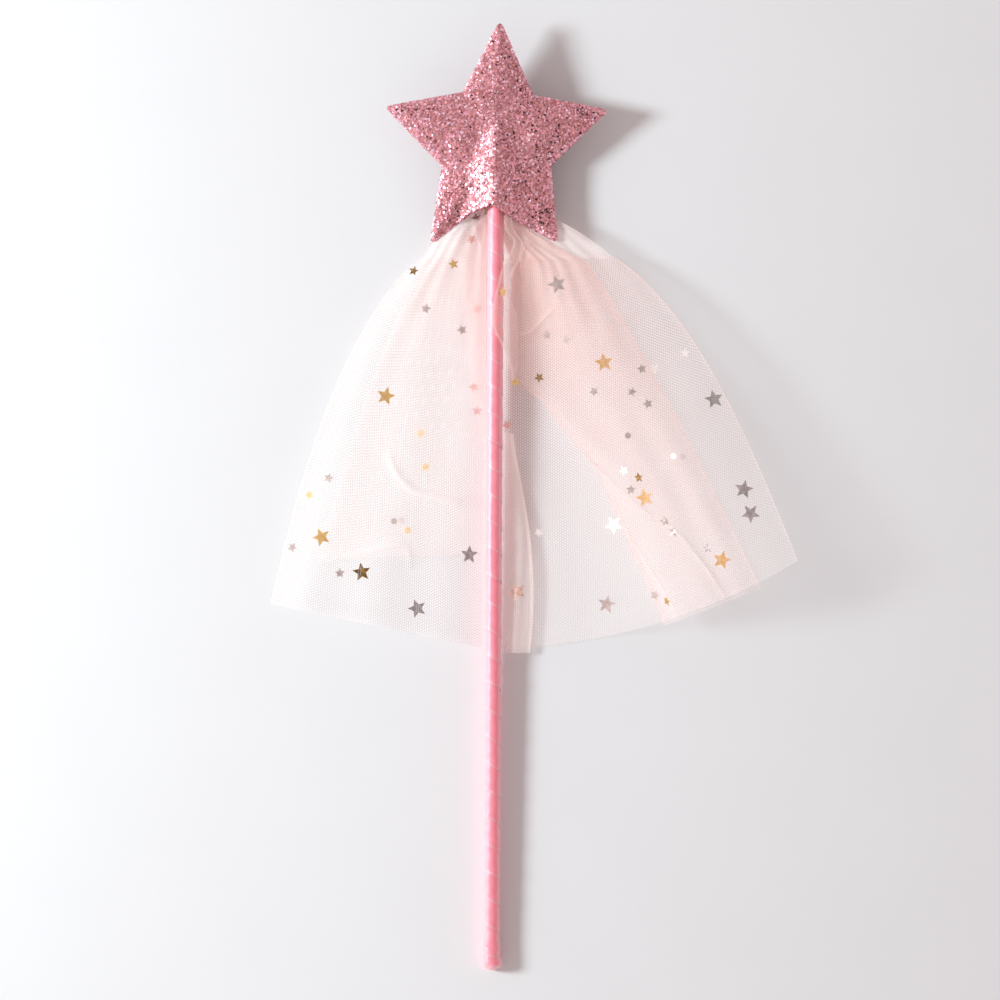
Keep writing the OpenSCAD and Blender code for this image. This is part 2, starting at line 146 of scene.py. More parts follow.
# Rings of points joined into a tube with closed ends
def tubeFaces(rows, columns, start=0, flip=False):
    last = (rows - 1) * columns
    faces = gridFaces(rows, columns, roundAlong=True)
    faces += [list(reversed(range(columns))), list(range(last, last + columns))]
    return [tuple(i + start for i in (reversed(face) if flip else face)) for face in faces]


# A fan round the first point and then bands between rings of points, with the same again underneath
def plateFaces(steps, rings):
    faces = [(0, 1 + k, 1 + (k + 1) % steps) for k in range(steps)]
    for first in range(1, 1 + (rings - 1) * steps, steps):
        for k in range(steps):
            n = (k + 1) % steps
            faces.append((first + k, first + steps + k, first + steps + n, first + n))
    count = 1 + rings * steps
    return faces + [tuple(reversed([i + count for i in face])) for face in faces]


def makePiece(name, points, faces, materials, smooth=True, uv=None, tones=None, **values):
    mesh = bpy.data.meshes.new(name)
    mesh.from_pydata(np.asarray(points).tolist(), [], faces)
    for material in materials:
        mesh.materials.append(material)
    if tones is not None:
        mesh.polygons.foreach_set("material_index", np.asarray(tones, np.int32))
    if uv is not None:
        corner = np.zeros(len(mesh.loops), np.int32)
        mesh.loops.foreach_get("vertex_index", corner)
        layer = mesh.uv_layers.new(name="clothMm")
        layer.data.foreach_set("uv", np.asarray(uv, np.float32)[corner].ravel())
    for key, value in values.items():
        attribute = mesh.attributes.new(key, "FLOAT", "POINT")
        attribute.data.foreach_set("value", np.asarray(value, np.float32).ravel())
    mesh.polygons.foreach_set("use_smooth", np.full(len(mesh.polygons), smooth))
    mesh.validate()
    mesh.update()
    piece = bpy.data.objects.new(name, mesh)
    bpy.context.scene.collection.objects.link(piece)
    return piece


# Ties a wand piece to the wand's body, bakes any other piece in place on the table, and hides the node it
# stands for
def settle(piece, body, node=None):
    if body == "wand":
        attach(piece, "wand")
    else:
        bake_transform(piece)
    if node:
        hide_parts(node)


# Nylon tulle, warp-knitted into a hexagonal net: dull fine threads round open holes, a faint pink veil
tulleLook = {
    # Colours from deepest to palest: the dye, with the painted shade laid over it layer by layer
    "dyes": ("#e6b1a7", "#efd6d1", "#fff5f2"),
    "glow": "#ffdcd6",
    # The real holes are about half as wide; drawn coarser so that they show
    "holeSpacing": 1.12,
    "netLevel": -0.6,
    "softness": 0.9,
    "lint": 0.35,
    "threadCover": 0.28,
    "bunchedCover": 0.85,
    "bunchedLevel": 1.6,
    "creaseBunch": 0.3,
    "driftSize": 14.0,
}


def makeTulle():
    # The clear threads pass light on from behind, which a faint glow stands in for
    material, tree, shader = startMaterial(
        "nylonTulleKnitted",
        Roughness=0.75,
        Sheen_Weight=0.1,
        Sheen_Roughness=0.5,
        Emission_Color=linear(tulleLook["glow"]),
        Emission_Strength=0.16,
    )
    cloth = addNode(tree, "ShaderNodeUVMap", uv_map="clothMm")
    bunch = addNode(tree, "ShaderNodeAttribute", attribute_name="bunch").outputs["Fac"]
    # Three waves at 60 degrees add up to a honeycomb, highest in the middle of each hole
    count = 4 * math.pi / (math.sqrt(3) * tulleLook["holeSpacing"])
    comb = 0.0
    for turn in np.radians((0, 60, 120)):
        along = (count * math.cos(turn), count * math.sin(turn), 0)
        reach = addNode(tree, "ShaderNodeVectorMath", {0: cloth, 1: along}, operation="DOT_PRODUCT")
        wave = addNode(tree, "ShaderNodeMath", {0: reach.outputs["Value"]}, operation="COSINE")
        comb = addNode(tree, "ShaderNodeMath", {0: wave, 1: comb}, operation="ADD")
    # Gathered cloth has its holes pressed narrow, so more of it is thread
    press = {0: bunch, 1: -tulleLook["bunchedLevel"], 2: comb}
    narrow = addNode(tree, "ShaderNodeMath", press, operation="MULTIPLY_ADD")
    level, soft = tulleLook["netLevel"], tulleLook["softness"]
    threads = {0: narrow, 1: level + soft, 2: level - soft, 3: tulleLook["lint"], 4: 1.0}
    net = addNode(tree, "ShaderNodeMapRange", threads)
    covers = {0: bunch, 3: tulleLook["threadCover"], 4: tulleLook["bunchedCover"]}
    cover = addNode(tree, "ShaderNodeMapRange", covers)
    alpha = addNode(tree, "ShaderNodeMath", {0: net, 1: cover}, operation="MULTIPLY")
    # Painted shade: the colour is set deeper or paler layer by layer and from top to hem, for the shade each
    # part lies in, deeper at the gathered neck and on the right half, turned from the lamp; it also drifts
    # slowly at random
    depth = addNode(tree, "ShaderNodeAttribute", attribute_name="dye").outputs["Fac"]
    scale = 1 / tulleLook["driftSize"]
    drift = addNode(tree, "ShaderNodeTexNoise", {"Vector": cloth, "Scale": scale, "Detail": 2.0})
    shift = addNode(tree, "ShaderNodeMapRange", {0: drift, 1: 0.3, 2: 0.7, 3: -0.1, 4: 0.1})
    tone = addNode(tree, "ShaderNodeMath", {0: depth, 1: shift}, operation="ADD")
    dye = addNode(tree, "ShaderNodeValToRGB", {0: tone}, list(zip((0.0, 0.5, 1.0), tulleLook["dyes"])))
    setInputs(tree, shader, {"Base Color": dye, "Alpha": alpha})
    return material


tulleNet = makeTulle()

# Polyester satin ribbon, woven with long floats: a white streak over a clear pink, with pale stitched edges
# and a painted sheen where the band turns away
ribbonLook = {
    "light": "#fb8094",
    "dark": "#f96f84",
    "stitch": "#ffd6dd",
    "between": "#dd5c73",
    # Colour of the painted sheen where the band turns away
    "turned": "#fde6ea",
    # The real floats are about 0.1 mm apart; drawn coarser so that they show
    "threadSpacing": 0.45,
    "stitchSpacing": 1.2,
    "stitchSlant": (1.0, -0.9, 0.0),
    "selvedge": (0.7, 1.2),
    "slubStretch": (0.06, 1.4, 1.0),
    "threadDepth": 0.06,
}


def makeSatin():
    material, tree, shader = startMaterial(
        "polyesterSatinWoven",
        Metallic=0.15,
        Roughness=0.45,
        Specular_IOR_Level=0.8,
        Sheen_Weight=0.5,
        Sheen_Roughness=0.78,
        Sheen_Tint=(1.0, 0.94, 0.95, 1.0),
        Anisotropic=0.4,
    )
    cloth = addNode(tree, "ShaderNodeUVMap", uv_map="clothMm")
    across = addNode(tree, "ShaderNodeSeparateXYZ", {0: cloth}).outputs["Y"]
    rows = {0: across, 1: 2 * math.pi / ribbonLook["threadSpacing"]}
    phase = addNode(tree, "ShaderNodeMath", rows, operation="MULTIPLY")
    floats = addNode(tree, "ShaderNodeMath", {0: phase}, operation="SINE")
    wide = addNode(tree, "ShaderNodeMapping", {"Vector": cloth, "Scale": ribbonLook["slubStretch"]})
    slub = addNode(tree, "ShaderNodeTexNoise", {"Vector": wide, "Scale": 1.0, "Detail": 3.0})
    stops = [(0.3, ribbonLook["dark"]), (0.7, ribbonLook["light"])]
    dye = addNode(tree, "ShaderNodeValToRGB", {0: slub}, stops)
    # Selvedge: slanted loops of thread along the first millimetre of each turn
    lines = {0: cloth, 1: ribbonLook["stitchSlant"]}
    slant = addNode(tree, "ShaderNodeVectorMath", lines, operation="DOT_PRODUCT").outputs["Value"]
    turns = {0: slant, 1: 2 * math.pi / ribbonLook["stitchSpacing"]}
    around = addNode(tree, "ShaderNodeMath", turns, operation="MULTIPLY")
    loop = addNode(tree, "ShaderNodeMath", {0: around}, operation="SINE")
    stitch = addNode(tree, "ShaderNodeMapRange", {0: loop, 1: 0.0, 2: 0.8})
    low, high = ribbonLook["selvedge"]
    selvedge = addNode(tree, "ShaderNodeMapRange", {0: across, 1: low, 2: high, 3: 0.75, 4: 0.0})
    sewn = addNode(tree, "ShaderNodeMath", {0: stitch, 1: selvedge}, operation="MULTIPLY")
    # Painted sheen: the base colour is mixed towards pale where the band turns away from the eye
    away = addNode(tree, "ShaderNodeLayerWeight", {"Blend": 0.5}).outputs["Facing"]
    pale = addNode(tree, "ShaderNodeMapRange", {0: away, 1: 0.1, 2: 0.36, 3: 0.0, 4: 0.3})
    # Each of these colours goes over the ones before it
    colour = dye.outputs["Color"]
    for share, over in ((selvedge, "between"), (sewn, "stitch"), (pale, "turned")):
        pair = {0: share, 6: colour, 7: linear(ribbonLook[over])}
        colour = addNode(tree, "ShaderNodeMix", pair, data_type="RGBA").outputs[2]
    weave = addNode(tree, "ShaderNodeMath", {0: floats, 1: slub}, operation="ADD")
    height = addNode(tree, "ShaderNodeMath", {0: sewn, 1: 3.0, 2: weave}, operation="MULTIPLY_ADD")
    relief = {"Strength": 0.15, "Distance": ribbonLook["threadDepth"] * millimetre, "Height": height}
    setInputs(tree, shader, {"Base Color": colour, "Normal": addNode(tree, "ShaderNodeBump", relief)})
    return material


satin = makeSatin()

# Glitter fabric: metallised polyester hexagons glued over dusty rose cloth, each catching light its own way
glitterLook = {
    "cloth": ("#9a5258", "#c17880", "#dba0a9"),
    "grain": 0.55,
    "lacquerSize": 2.0,
    # Name, colour and share of each kind of flake
    "flakes": (
        ("glitterHexDeep", "#3a1b1c", 0.05),
        ("glitterHexDusk", "#b27175", 0.24),
        ("glitterHexRose", "#d29095", 0.4),
        ("glitterHexPink", "#e29db0", 0.21),
        ("glitterHexPearl", "#ecc8dc", 0.1),
    ),
}


def makeGlitterCloth():
    material, tree, shader = startMaterial("glitterFabricGlued", Metallic=0.35, Roughness=0.42)
    place = addNode(tree, "ShaderNodeTexCoord").outputs["Object"]
    # Fine glitter between the large flakes, about half a millimetre across
    scale = 1 / (glitterLook["grain"] * millimetre)
    grains = addNode(tree, "ShaderNodeTexVoronoi", {"Vector": place, "Scale": scale})
    pick = addNode(tree, "ShaderNodeSeparateColor", {0: grains.outputs["Color"]})
    tint = addNode(tree, "ShaderNodeValToRGB", {0: pick}, list(zip((0.1, 0.5, 0.95), glitterLook["cloth"])))
    relief = {"Strength": 0.6, "Distance": 0.2 * millimetre, "Height": pick.outputs[1]}
    setInputs(tree, shader, {"Base Color": tint, "Normal": addNode(tree, "ShaderNodeBump", relief)})
    return material


def makeFlake(name, colour):
    sockets = {"Metallic": 0.75, "Roughness": 0.3, "Coat_Weight": 0.5, "Coat_Roughness": 0.25}
    material, tree, shader = startMaterial(name, **sockets)
    place = addNode(tree, "ShaderNodeTexCoord").outputs["Object"]
    # The lacquer varies a little from flake to flake
    scale = 1 / (glitterLook["lacquerSize"] * millimetre)
    cast = addNode(tree, "ShaderNodeTexNoise", {"Vector": place, "Scale": scale, "Detail": 1.0})
    level = addNode(tree, "ShaderNodeMapRange", {0: cast, 1: 0.3, 2: 0.7, 3: 0.82, 4: 1.18})
    tone = addNode(tree, "ShaderNodeHueSaturation", {"Color": linear(colour), "Value": level})
    setInputs(tree, shader, {"Base Color": tone})
    return material


glitterCloth = makeGlitterCloth()
glitterFlakes = [makeFlake(name, colour) for name, colour, share in glitterLook["flakes"]]

# Metallised polyester film, die-cut or hot-stamped on the net: flat, bright, with a faint rolled grain
foilFilm = {"grain": 1.5, "grainDepth": 0.05, "prickSpacing": 0.9, "prickEdge": (0.24, 0.36), "pricked": 0.25}


def makeFoil(name, light, dark, roughness, stamped):
    material, tree, shader = startMaterial(name, Metallic=0.9, Roughness=roughness)
    place = addNode(tree, "ShaderNodeTexCoord").outputs["Object"]
    scale = 1 / (foilFilm["grain"] * millimetre)
    grain = addNode(tree, "ShaderNodeTexNoise", {"Vector": place, "Scale": scale, "Detail": 3.0})
    tint = addNode(tree, "ShaderNodeValToRGB", {0: grain}, [(0.35, dark), (0.65, light)])
    relief = {"Strength": 0.2, "Distance": foilFilm["grainDepth"] * millimetre, "Height": grain}
    setInputs(tree, shader, {"Base Color": tint, "Normal": addNode(tree, "ShaderNodeBump", relief)})
    if stamped:
        # Stamped through the net, so the holes show as pricks
        scale = 1 / (foilFilm["prickSpacing"] * millimetre)
        holes = {"Vector": place, "Scale": scale, "Randomness": 0.15}
        pricks = addNode(tree, "ShaderNodeTexVoronoi", holes).outputs["Distance"]
        low, high = foilFilm["prickEdge"]
        edge = {0: pricks, 1: low, 2: high, 3: foilFilm["pricked"], 4: 1.0}
        setInputs(tree, shader, {"Alpha": addNode(tree, "ShaderNodeMapRange", edge)})
    return material


foilLooks = {
    "gold": ("goldFoilDieCut", "#dcbd86", "#cba566", 0.28, False),
    # Painted shade: a dark gold for foil turned from the light
    "darkGold": ("goldFoilPaintedShade", "#8a6a3c", "#5c431c", 0.3, True),
    "paleGold": ("goldFoilUnderNet", "#ffe9bd", "#f9d594", 0.35, False),
    "stampedGold": ("goldFoilStamped", "#e2bd8b", "#d0a468", 0.3, True),
    "silver": ("silverFoilDieCut", "#c9beb9", "#b1a5a0", 0.28, False),
    # Painted shade: a dark silver for foil turned from the light
    "darkSilver": ("silverFoilPaintedShade", "#aaa2a2", "#8a8281", 0.36, True),
    "paleSilver": ("silverFoilUnderNet", "#ebe6e5", "#dbd4d2", 0.35, False),
    "stampedSilver": ("silverFoilStamped", "#cbbbb7", "#a99b98", 0.3, True),
    "roseSilver": ("silverFoilUnderFolds", "#ecbfbb", "#dca9a4", 0.4, False),
    # Painted shadow: a tan silver for foil that lies in shade
    "tanSilver": ("silverFoilPaintedShadow", "#d9b9ad", "#c09d90", 0.45, True),
}
foils = {key: makeFoil(*look) for key, look in foilLooks.items()}
print("tulle, satin, glitter and foil finishes made")

# The star: two padded panels that meet at a rim, raised over the stick inside
star = {
    # Corners from the middle, with the radius of their rounds; hand cut, so not quite regular
    "corners": (
        (1.4, 50.6, 1.1), (-13.7, 20.9, 1.6), (-46.5, 14.8, 0.9), (-22.4, -9.6, 1.6),
        (-27.3, -42.4, 1.1), (-10.6, -29.3, 3.0), (-2.2, -26.2, 1.6), (26.0, -41.5, 1.1),
        (22.7, -9.1, 1.6), (46.8, 13.8, 1.0), (15.1, 19.9, 1.6),
    ),
    "field": 51.0,
    "tilt": 4.6,
    "tiltFrom": -20.0,
    "panel": 0.9,
    "crown": 2.0,
    "rim": 16.0,
    "notchReach": 22.73,
    "glueLine": 0.05,
    # Height and half width of the ridge over the stick, and how the front one widens towards the notch
    "front": (6.0, 11.2),
    "back": (6.489, 15.57),
    "flankSpread": (1.45, 0.95),
    "rings": 30,
    "outlinePoints": 250,
    "edgeBow": 1.006,
    "fill": 0.55,
    # Large and small flakes on each panel, those along its edge, and the ranges of their sizes
    "flakes": {"front": (6400, 4200), "back": (4600, 1800)},
    "edgeFlakes": 900,
    "largeFlake": (0.4, 0.62),
    "smallFlake": (0.2, 0.34),
    "edgeFlake": (0.3, 0.55),
    "flakeLift": (0.06, 0.3),
    "tumble": 0.12,
    "edgeTumble": 0.25,
    "seed": 23,
}


# The outline with small rounds at its tips and notches, at even steps
def starOutline():
    corners = [np.array(corner[:2]) for corner in star["corners"]]
    line = []
    for i, corner in enumerate(corners):
        before = corners[i - 1] - corner
        after = corners[(i + 1) % len(corners)] - corner
        before, after = before / np.linalg.norm(before), after / np.linalg.norm(after)
        halfAngle = math.acos(np.clip(before @ after, -1, 1)) / 2
        trim = star["corners"][i][2] / math.tan(halfAngle)
        for t in np.linspace(0, 1, 9):
            start, end = corner + before * trim, corner + after * trim
            line.append(start * (1 - t) ** 2 + corner * 2 * t * (1 - t) + end * t * t)
    line = np.array(line + [line[0]])
    length = np.concatenate([[0], np.cumsum(np.linalg.norm(np.diff(line, axis=0), axis=1))])
    even = np.linspace(0, length[-1], star["outlinePoints"], endpoint=False)
    return np.stack([np.interp(even, length, line[:, k]) for k in (0, 1)], axis=1)


outline = starOutline()
outlineAngle = np.unwrap(np.arctan2(outline[:, 1], outline[:, 0]))
outlineReach = np.linalg.norm(outline, axis=1)


def reachAt(x, y):
    angle = (np.arctan2(y, x) - outlineAngle[0]) % (2 * math.pi) + outlineAngle[0]
    angles = np.append(outlineAngle, outlineAngle[0] + 2 * math.pi)
    return np.interp(angle, angles, np.append(outlineReach, outlineReach[0]))


# Height of a panel's inside over the seam, with a little unevenness from the stuffing
def panelHeight(x, y, side):
    height, width = star[side]
    s = np.clip(np.hypot(x, y) / reachAt(x, y), 0, 1)
    t = np.clip((s - 1 + star["rim"] / star["notchReach"]) * star["notchReach"] / star["rim"], 0, 1)
    crown = star["glueLine"] + star["crown"] * (1 - t * t)
    # A tent over the stick, rounded along its top; the front one spreads towards the notch
    if side == "front":
        width = width * mix(*star["flankSpread"], ease(-26, 8, y))
        height = height * (1 - ease(-12, 28, y))
    else:
        height = height * (1 - ease(6, 24, y))
    ridge = height * np.clip(1.06 - np.sqrt(x * x + 0.8) / width, 0, 1)
    lumps = 0.16 * (np.sin(0.33 * x + 0.21 * y) + np.sin(0.27 * y - 0.4 * x + 1.7)) * (1 - t)
    return (crown**5 + ridge**5) ** (1 / 5) + lumps


# The soft star tips up a little from where it leaves the stick
def laidStar(points):
    lift = math.tan(math.radians(star["tilt"])) * np.maximum(points[:, 1] - star["tiltFrom"], 0)
    return layWand(points + np.column_stack([0 * lift, np.full(len(lift), wand["starReach"]), lift]))


# The veil's layers: outlines are shares of its reach and drop, and other lines are places from the butt
veil = {
    "leftReach": 94.0,
    "rightReach": 126.0,
    "underLength": 0.76,
    "leftOutline": ((0.33, 0), (0.61, 0.13), (0.82, 0.42), (1, 0.89)),
    "leftUnder": ((0.32, 0), (0.47, 0.17), (0.66, 0.45), (0.795, 0.78)),
    "rightOutline": ((0.4, 0), (0.635, 0.12), (0.8, 0.375), (1, 0.77)),
    "frontOutline": ((0.3, 0.01), (0.435, 0.16), (0.585, 0.375), (0.88, 0.84)),
    "stripEdge": ((0.06, 0.45), (0.08, 0.59), (0.16, 0.74), (0.12, 1.013)),
    # Rolled inner edge of the front layer, beside the stick and then out to the hem
    "frontInside": (
        (7.4, 300.4), (7.8, 296.0), (7.6, 291.0), (7.0, 286.5), (6.6, 282.0), (6.6, 275.0), (6.8, 267.0),
        (7.0, 259.0), (7.6, 251.0), (12.4, 246.9), (20.0, 241.8), (27.0, 232.6), (35.0, 222.5),
        (43.5, 212.5), (51.5, 194.5), (61.0, 172.0), (72.3, 147.1),
    ),
    # Free edge of the ruffle, from the star to where it joins the front layer, and the line it springs from
    "ruffleEdge": (
        (4.2, 320.0), (3.8, 316.3), (4.8, 312.7), (7.6, 309.5), (7.4, 305.9), (4.9, 301.3), (2.1, 294.3),
        (1.1, 289.5), (0.1, 285.5), (-0.8, 279.2), (-1.0, 274.1), (-0.3, 271.6), (1.7, 267.4),
        (3.4, 264.0), (5.4, 258.9), (6.9, 254.9), (7.4, 250.1),
    ),
    "ruffleRoot": (
        (6.5, 319.5, 9.0), (7.1, 315.2, 8.6), (8.8, 311.8, 8.2), (11.2, 308.6, 8.0), (11.4, 305.2, 8.0),
        (9.6, 300.2, 8.2), (6.9, 294.8, 8.8), (5.4, 289.8, 8.8), (6.0, 285.0, 7.6), (8.6, 279.0, 6.2),
        (9.4, 274.0, 5.4), (9.5, 271.4, 5.2), (9.5, 267.3, 5.0), (9.5, 264.0, 4.8), (9.5, 259.0, 4.6),
        (9.2, 255.0, 4.4), (8.2, 250.1, 4.2),
    ),
    # Creases: a line, and the height and width of its ridge
    "leftCreases": (
        (((-44.6, 218.6), (-41.2, 210.6), (-34, 203.4), (-23.8, 200.4), (-15, 198.7)), 1.7, 1.7),
        (
            ((-71.6, 172.7), (-62, 175.5), (-52.4, 178), (-41.6, 180.3), (-36.2, 178.2), (-35, 171.1)),
            1.2,
            1.3,
        ),
    ),
    "gatherCreases": ((((-10.3, 317.5), (-8.6, 314.0), (-7.0, 310.0), (-6.2, 305.5)), 0.7, 0.7),),
    "frontCreases": (
        (((38, 219), (42.5, 213.9), (57.4, 199.1), (76.9, 185.6), (90, 169.5), (97, 159)), 2.0, 1.3),
        (((53.2, 190.3), (68, 166.6), (78, 150.5)), 1.3, 1.1),
        (((9.9, 269.3), (15.8, 271.4), (20.5, 276.1), (24.7, 280.3)), 1.3, 0.9),
    ),
    "base": 0.5,
    "lowest": 0.3,
    "seam": 0.6,
    "layerStep": 2.4,
    "leftCrown": 9.0,
    "frontCrown": 4.0,
    "foldDepth": 1.6,
    "hemBulge": 10.0,
    # The right half stands up from the table by a share of its distance from the neck, between two bearings
    "flareRise": 0.155,
    "flareBearings": (12, 42),
    "ruffleLap": 0.6,
    "gatherRadius": 4.66,
    "gatherTop": 323.5,
    "gatherPleats": 13,
    "gatherPuff": 2.4,
    # The gather's arc behind the stick, in degrees; its outer pleats lie flatter, so they spread sooner
    "gatherArc": (205, 335),
    "gatherSpread": ((0, 0.42), (0.25, 0.75), (0.45, 1.0), (0.7, 0.65), (1, 0.55)),
    "neckShare": -0.105,
}
veilDrop = wand["veilTop"] - wand["hemY"]


def veilY(share):
    return wand["veilTop"] - veilDrop * share


def curve(points, t):
    a, b, c, d = (np.array(p, float) for p in points)
    t = np.asarray(t, float)[..., None]
    return a * (1 - t) ** 3 + b * 3 * t * (1 - t) ** 2 + c * 3 * t * t * (1 - t) + d * t**3


def edgeLine(key, reach, v):
    p = curve(veil[key], v)
    return p[..., 0] * reach, veilY(p[..., 1])


def flare(x, y):
    drop = wand["neckY"] - y
    bearing = np.degrees(np.arctan2(x, drop))
    return veil["flareRise"] * np.hypot(x, drop) * ease(*veil["flareBearings"], bearing)


def folds(u, count, depth):
    return depth * (1 - np.cos(2 * math.pi * count * u)) / 2


# Pleats that run down from the neck and open out towards the hem
def pleats(u, v, count, depth, seed):
    wander = 0.05 * np.sin(7 * u + seed) + 0.03 * np.sin(5 * v + 2 * seed)
    deep = folds(u + wander - 0.05 * math.sin(seed), count, depth)
    return deep * (1 - ease(-0.05, 0.75, v)) * ease(0, 0.06, u)


# Slack in the cloth: a few long waves that never go below the layer
def slack(u, v, depth, seed):
    a = np.sin(9.1 * u + 3.3 * v + seed) + np.sin(4.7 * u - 7.9 * v + 2.1 * seed)
    a = a + np.sin(15.3 * u + 11.2 * v + 3.7 * seed)
    return depth * (a + 3) / 6 * ease(0.1, 0.6, v)


# A smooth line through rows of numbers
def flow(rows, t):
    rows = np.array(rows, float)
    p = np.clip(np.asarray(t, float) * (len(rows) - 1), 0, len(rows) - 1 - 1e-9)
    i = p.astype(int)
    f = (p - i)[..., None]
    a, b, c, d = rows[np.maximum(i - 1, 0)], rows[i], rows[i + 1], rows[np.minimum(i + 2, len(rows) - 1)]
    return 0.5 * (2 * b + (c - a) * f + (2 * a - 5 * b + 4 * c - d) * f**2 + (3 * b - a - 3 * c + d) * f**3)


# A crease: a low ridge along a line on the table, fading at both ends
def crease(x, y, line, height, width):
    path = flow(line, np.linspace(0, 1, 40))
    rise = 0
    for k, (px, py) in enumerate(path):
        fade = math.sin(math.pi * (k + 1) / (len(path) + 1)) ** 0.5
        rise = np.maximum(rise, fade * np.exp(-((x - px) ** 2 + (y - py) ** 2) / width**2))
    return height * rise


# Cloth passes under the star, never through its back
def underStar(points):
    x, y, z = np.moveaxis(points, -1, 0)
    sx, sy = x, y - wand["starReach"]
    beyond = np.hypot(sx, sy) - reachAt(sx, sy)
    limit = axisHeight(y) - panelHeight(sx, sy, "back") - star["panel"] - 0.5 + 0.9 * np.maximum(beyond, 0)
    limit = np.where(np.abs(sx) < 6, z, limit)
    return np.stack([x, y, np.maximum(np.minimum(z, limit), veil["lowest"])], axis=-1)


# Draws a layer's top in to the neck, where it is gathered behind the stick
def drawIn(points, u, v, fromAngle, toAngle, haste):
    t = np.clip(v / veil["neckShare"], 0, 1)
    a = np.radians(mix(fromAngle, toAngle, u))
    x, y, z = np.moveaxis(points, -1, 0)
    neckX = veil["gatherRadius"] * np.cos(a)
    neckZ = axisHeight(wand["gatherY"]) + veil["gatherRadius"] * np.sin(a)
    low = ease(0, 1, np.clip(haste * t, 0, 1))
    return np.stack([mix(x, neckX, t**0.9), mix(y, wand["gatherY"], t), mix(z, neckZ, low)], axis=-1)


# Each layer gives places for shares across, from the stick side out, and along, from the top to the hem
def leftUpper(u, v):
    w = np.clip(v, 0, 1)
    ex, ey = edgeLine("leftOutline", -veil["leftReach"], w)
    arch = veil["leftCrown"] * mix(0.45, 1, w) * np.sin(math.pi * 0.78 * np.maximum(u, 0) ** 0.8)
    z = veil["base"] + veil["layerStep"] + folds(u, 3, veil["foldDepth"] * w) + arch
    x, y = mix(-wand["stickClear"], ex, u), mix(veilY(w), ey, u)
    z = z + pleats(u, w, 5, 0.5, 0.7) + slack(u, w, 1.0, 0.4)
    z = z + sum(crease(x, y, *fold) for fold in veil["leftCreases"])
    return np.stack([x, y, z], axis=-1)


def leftUnder(u, v):
    w = np.clip(v, 0, 1)
    ex, ey = edgeLine("leftUnder", -veil["leftReach"], w)
    x, y = mix(-veil["seam"], ex, u), mix(veilY(veil["underLength"] * w), ey, u)
    z = veil["base"] + folds(u, 3, 0.3 * veil["foldDepth"] * w) + slack(u, w, 0.7, 2.2)
    return underStar(drawIn(np.stack([x, y, z], axis=-1), u, v, 268, 210, 1.0))


def rightBack(u, v):
    w = np.clip(v, 0, 1)
    ex, ey = edgeLine("rightOutline", veil["rightReach"], w)
    x = mix(veil["seam"], ex, u)
    y = mix(veilY(w), ey, u) - veil["hemBulge"] * 4 * u * (1 - u) * w
    z = veil["base"] + flare(x, y) + folds(u, 3, 0.5 * veil["foldDepth"] * w)
    z = z + pleats(u, w, 6, 0.5, 1.9) + slack(u, w, 0.8, 5.1)
    return np.stack([x, y, z], axis=-1)


def rightFront(u, v):
    w = np.clip(v, 0, 1)
    ix, iy = np.moveaxis(flow(veil["frontInside"], w), -1, 0)
    ox, oy = edgeLine("frontOutline", veil["rightReach"], w)
    x, y = mix(ix, ox, u), mix(iy, oy, u)
    arch = veil["frontCrown"] * mix(0.45, 1, w) * np.sin(math.pi * u)
    z = veil["base"] + veil["layerStep"] + flare(x, y) + folds(u, 3, veil["foldDepth"] * w) + arch
    z = z + pleats(u, w, 5, 0.6, 3.1) + slack(u, w, 1.4, 1.3)
    z = z + sum(crease(x, y, *fold) for fold in veil["frontCreases"])
    return underStar(drawIn(np.stack([x, y, z], axis=-1), u, v, 280, 332, 1.8))


def rightStrip(u, v):
    w = np.clip(v, 0, 1)
    ex, ey = edgeLine("stripEdge", veil["rightReach"], w)
    z = veil["base"] + veil["layerStep"] + 1.2 * np.sin(math.pi * u) + slack(u, w, 0.7, 0.9)
    return np.stack([mix(wand["stickClear"], ex, u), ey, z], axis=-1)


def rightRuffle(u, v):
    edge, root = flow(veil["ruffleEdge"], v), flow(veil["ruffleRoot"], v)
    x, y = mix(root[..., 0], edge[..., 0], u), mix(root[..., 1], edge[..., 1], u)
    clear = wand["stickClear"]
    lap = np.sqrt((clear + veil["ruffleLap"]) ** 2 - np.minimum(np.abs(edge[..., 0]), clear) ** 2)
    high = axisHeight(edge[..., 1]) + lap
    z = mix(root[..., 2], high, u**0.8) + 0.8 * np.sin(math.pi * u) ** 2 * ease(0.35, 0.6, v)
    return np.stack([x, y, z], axis=-1)


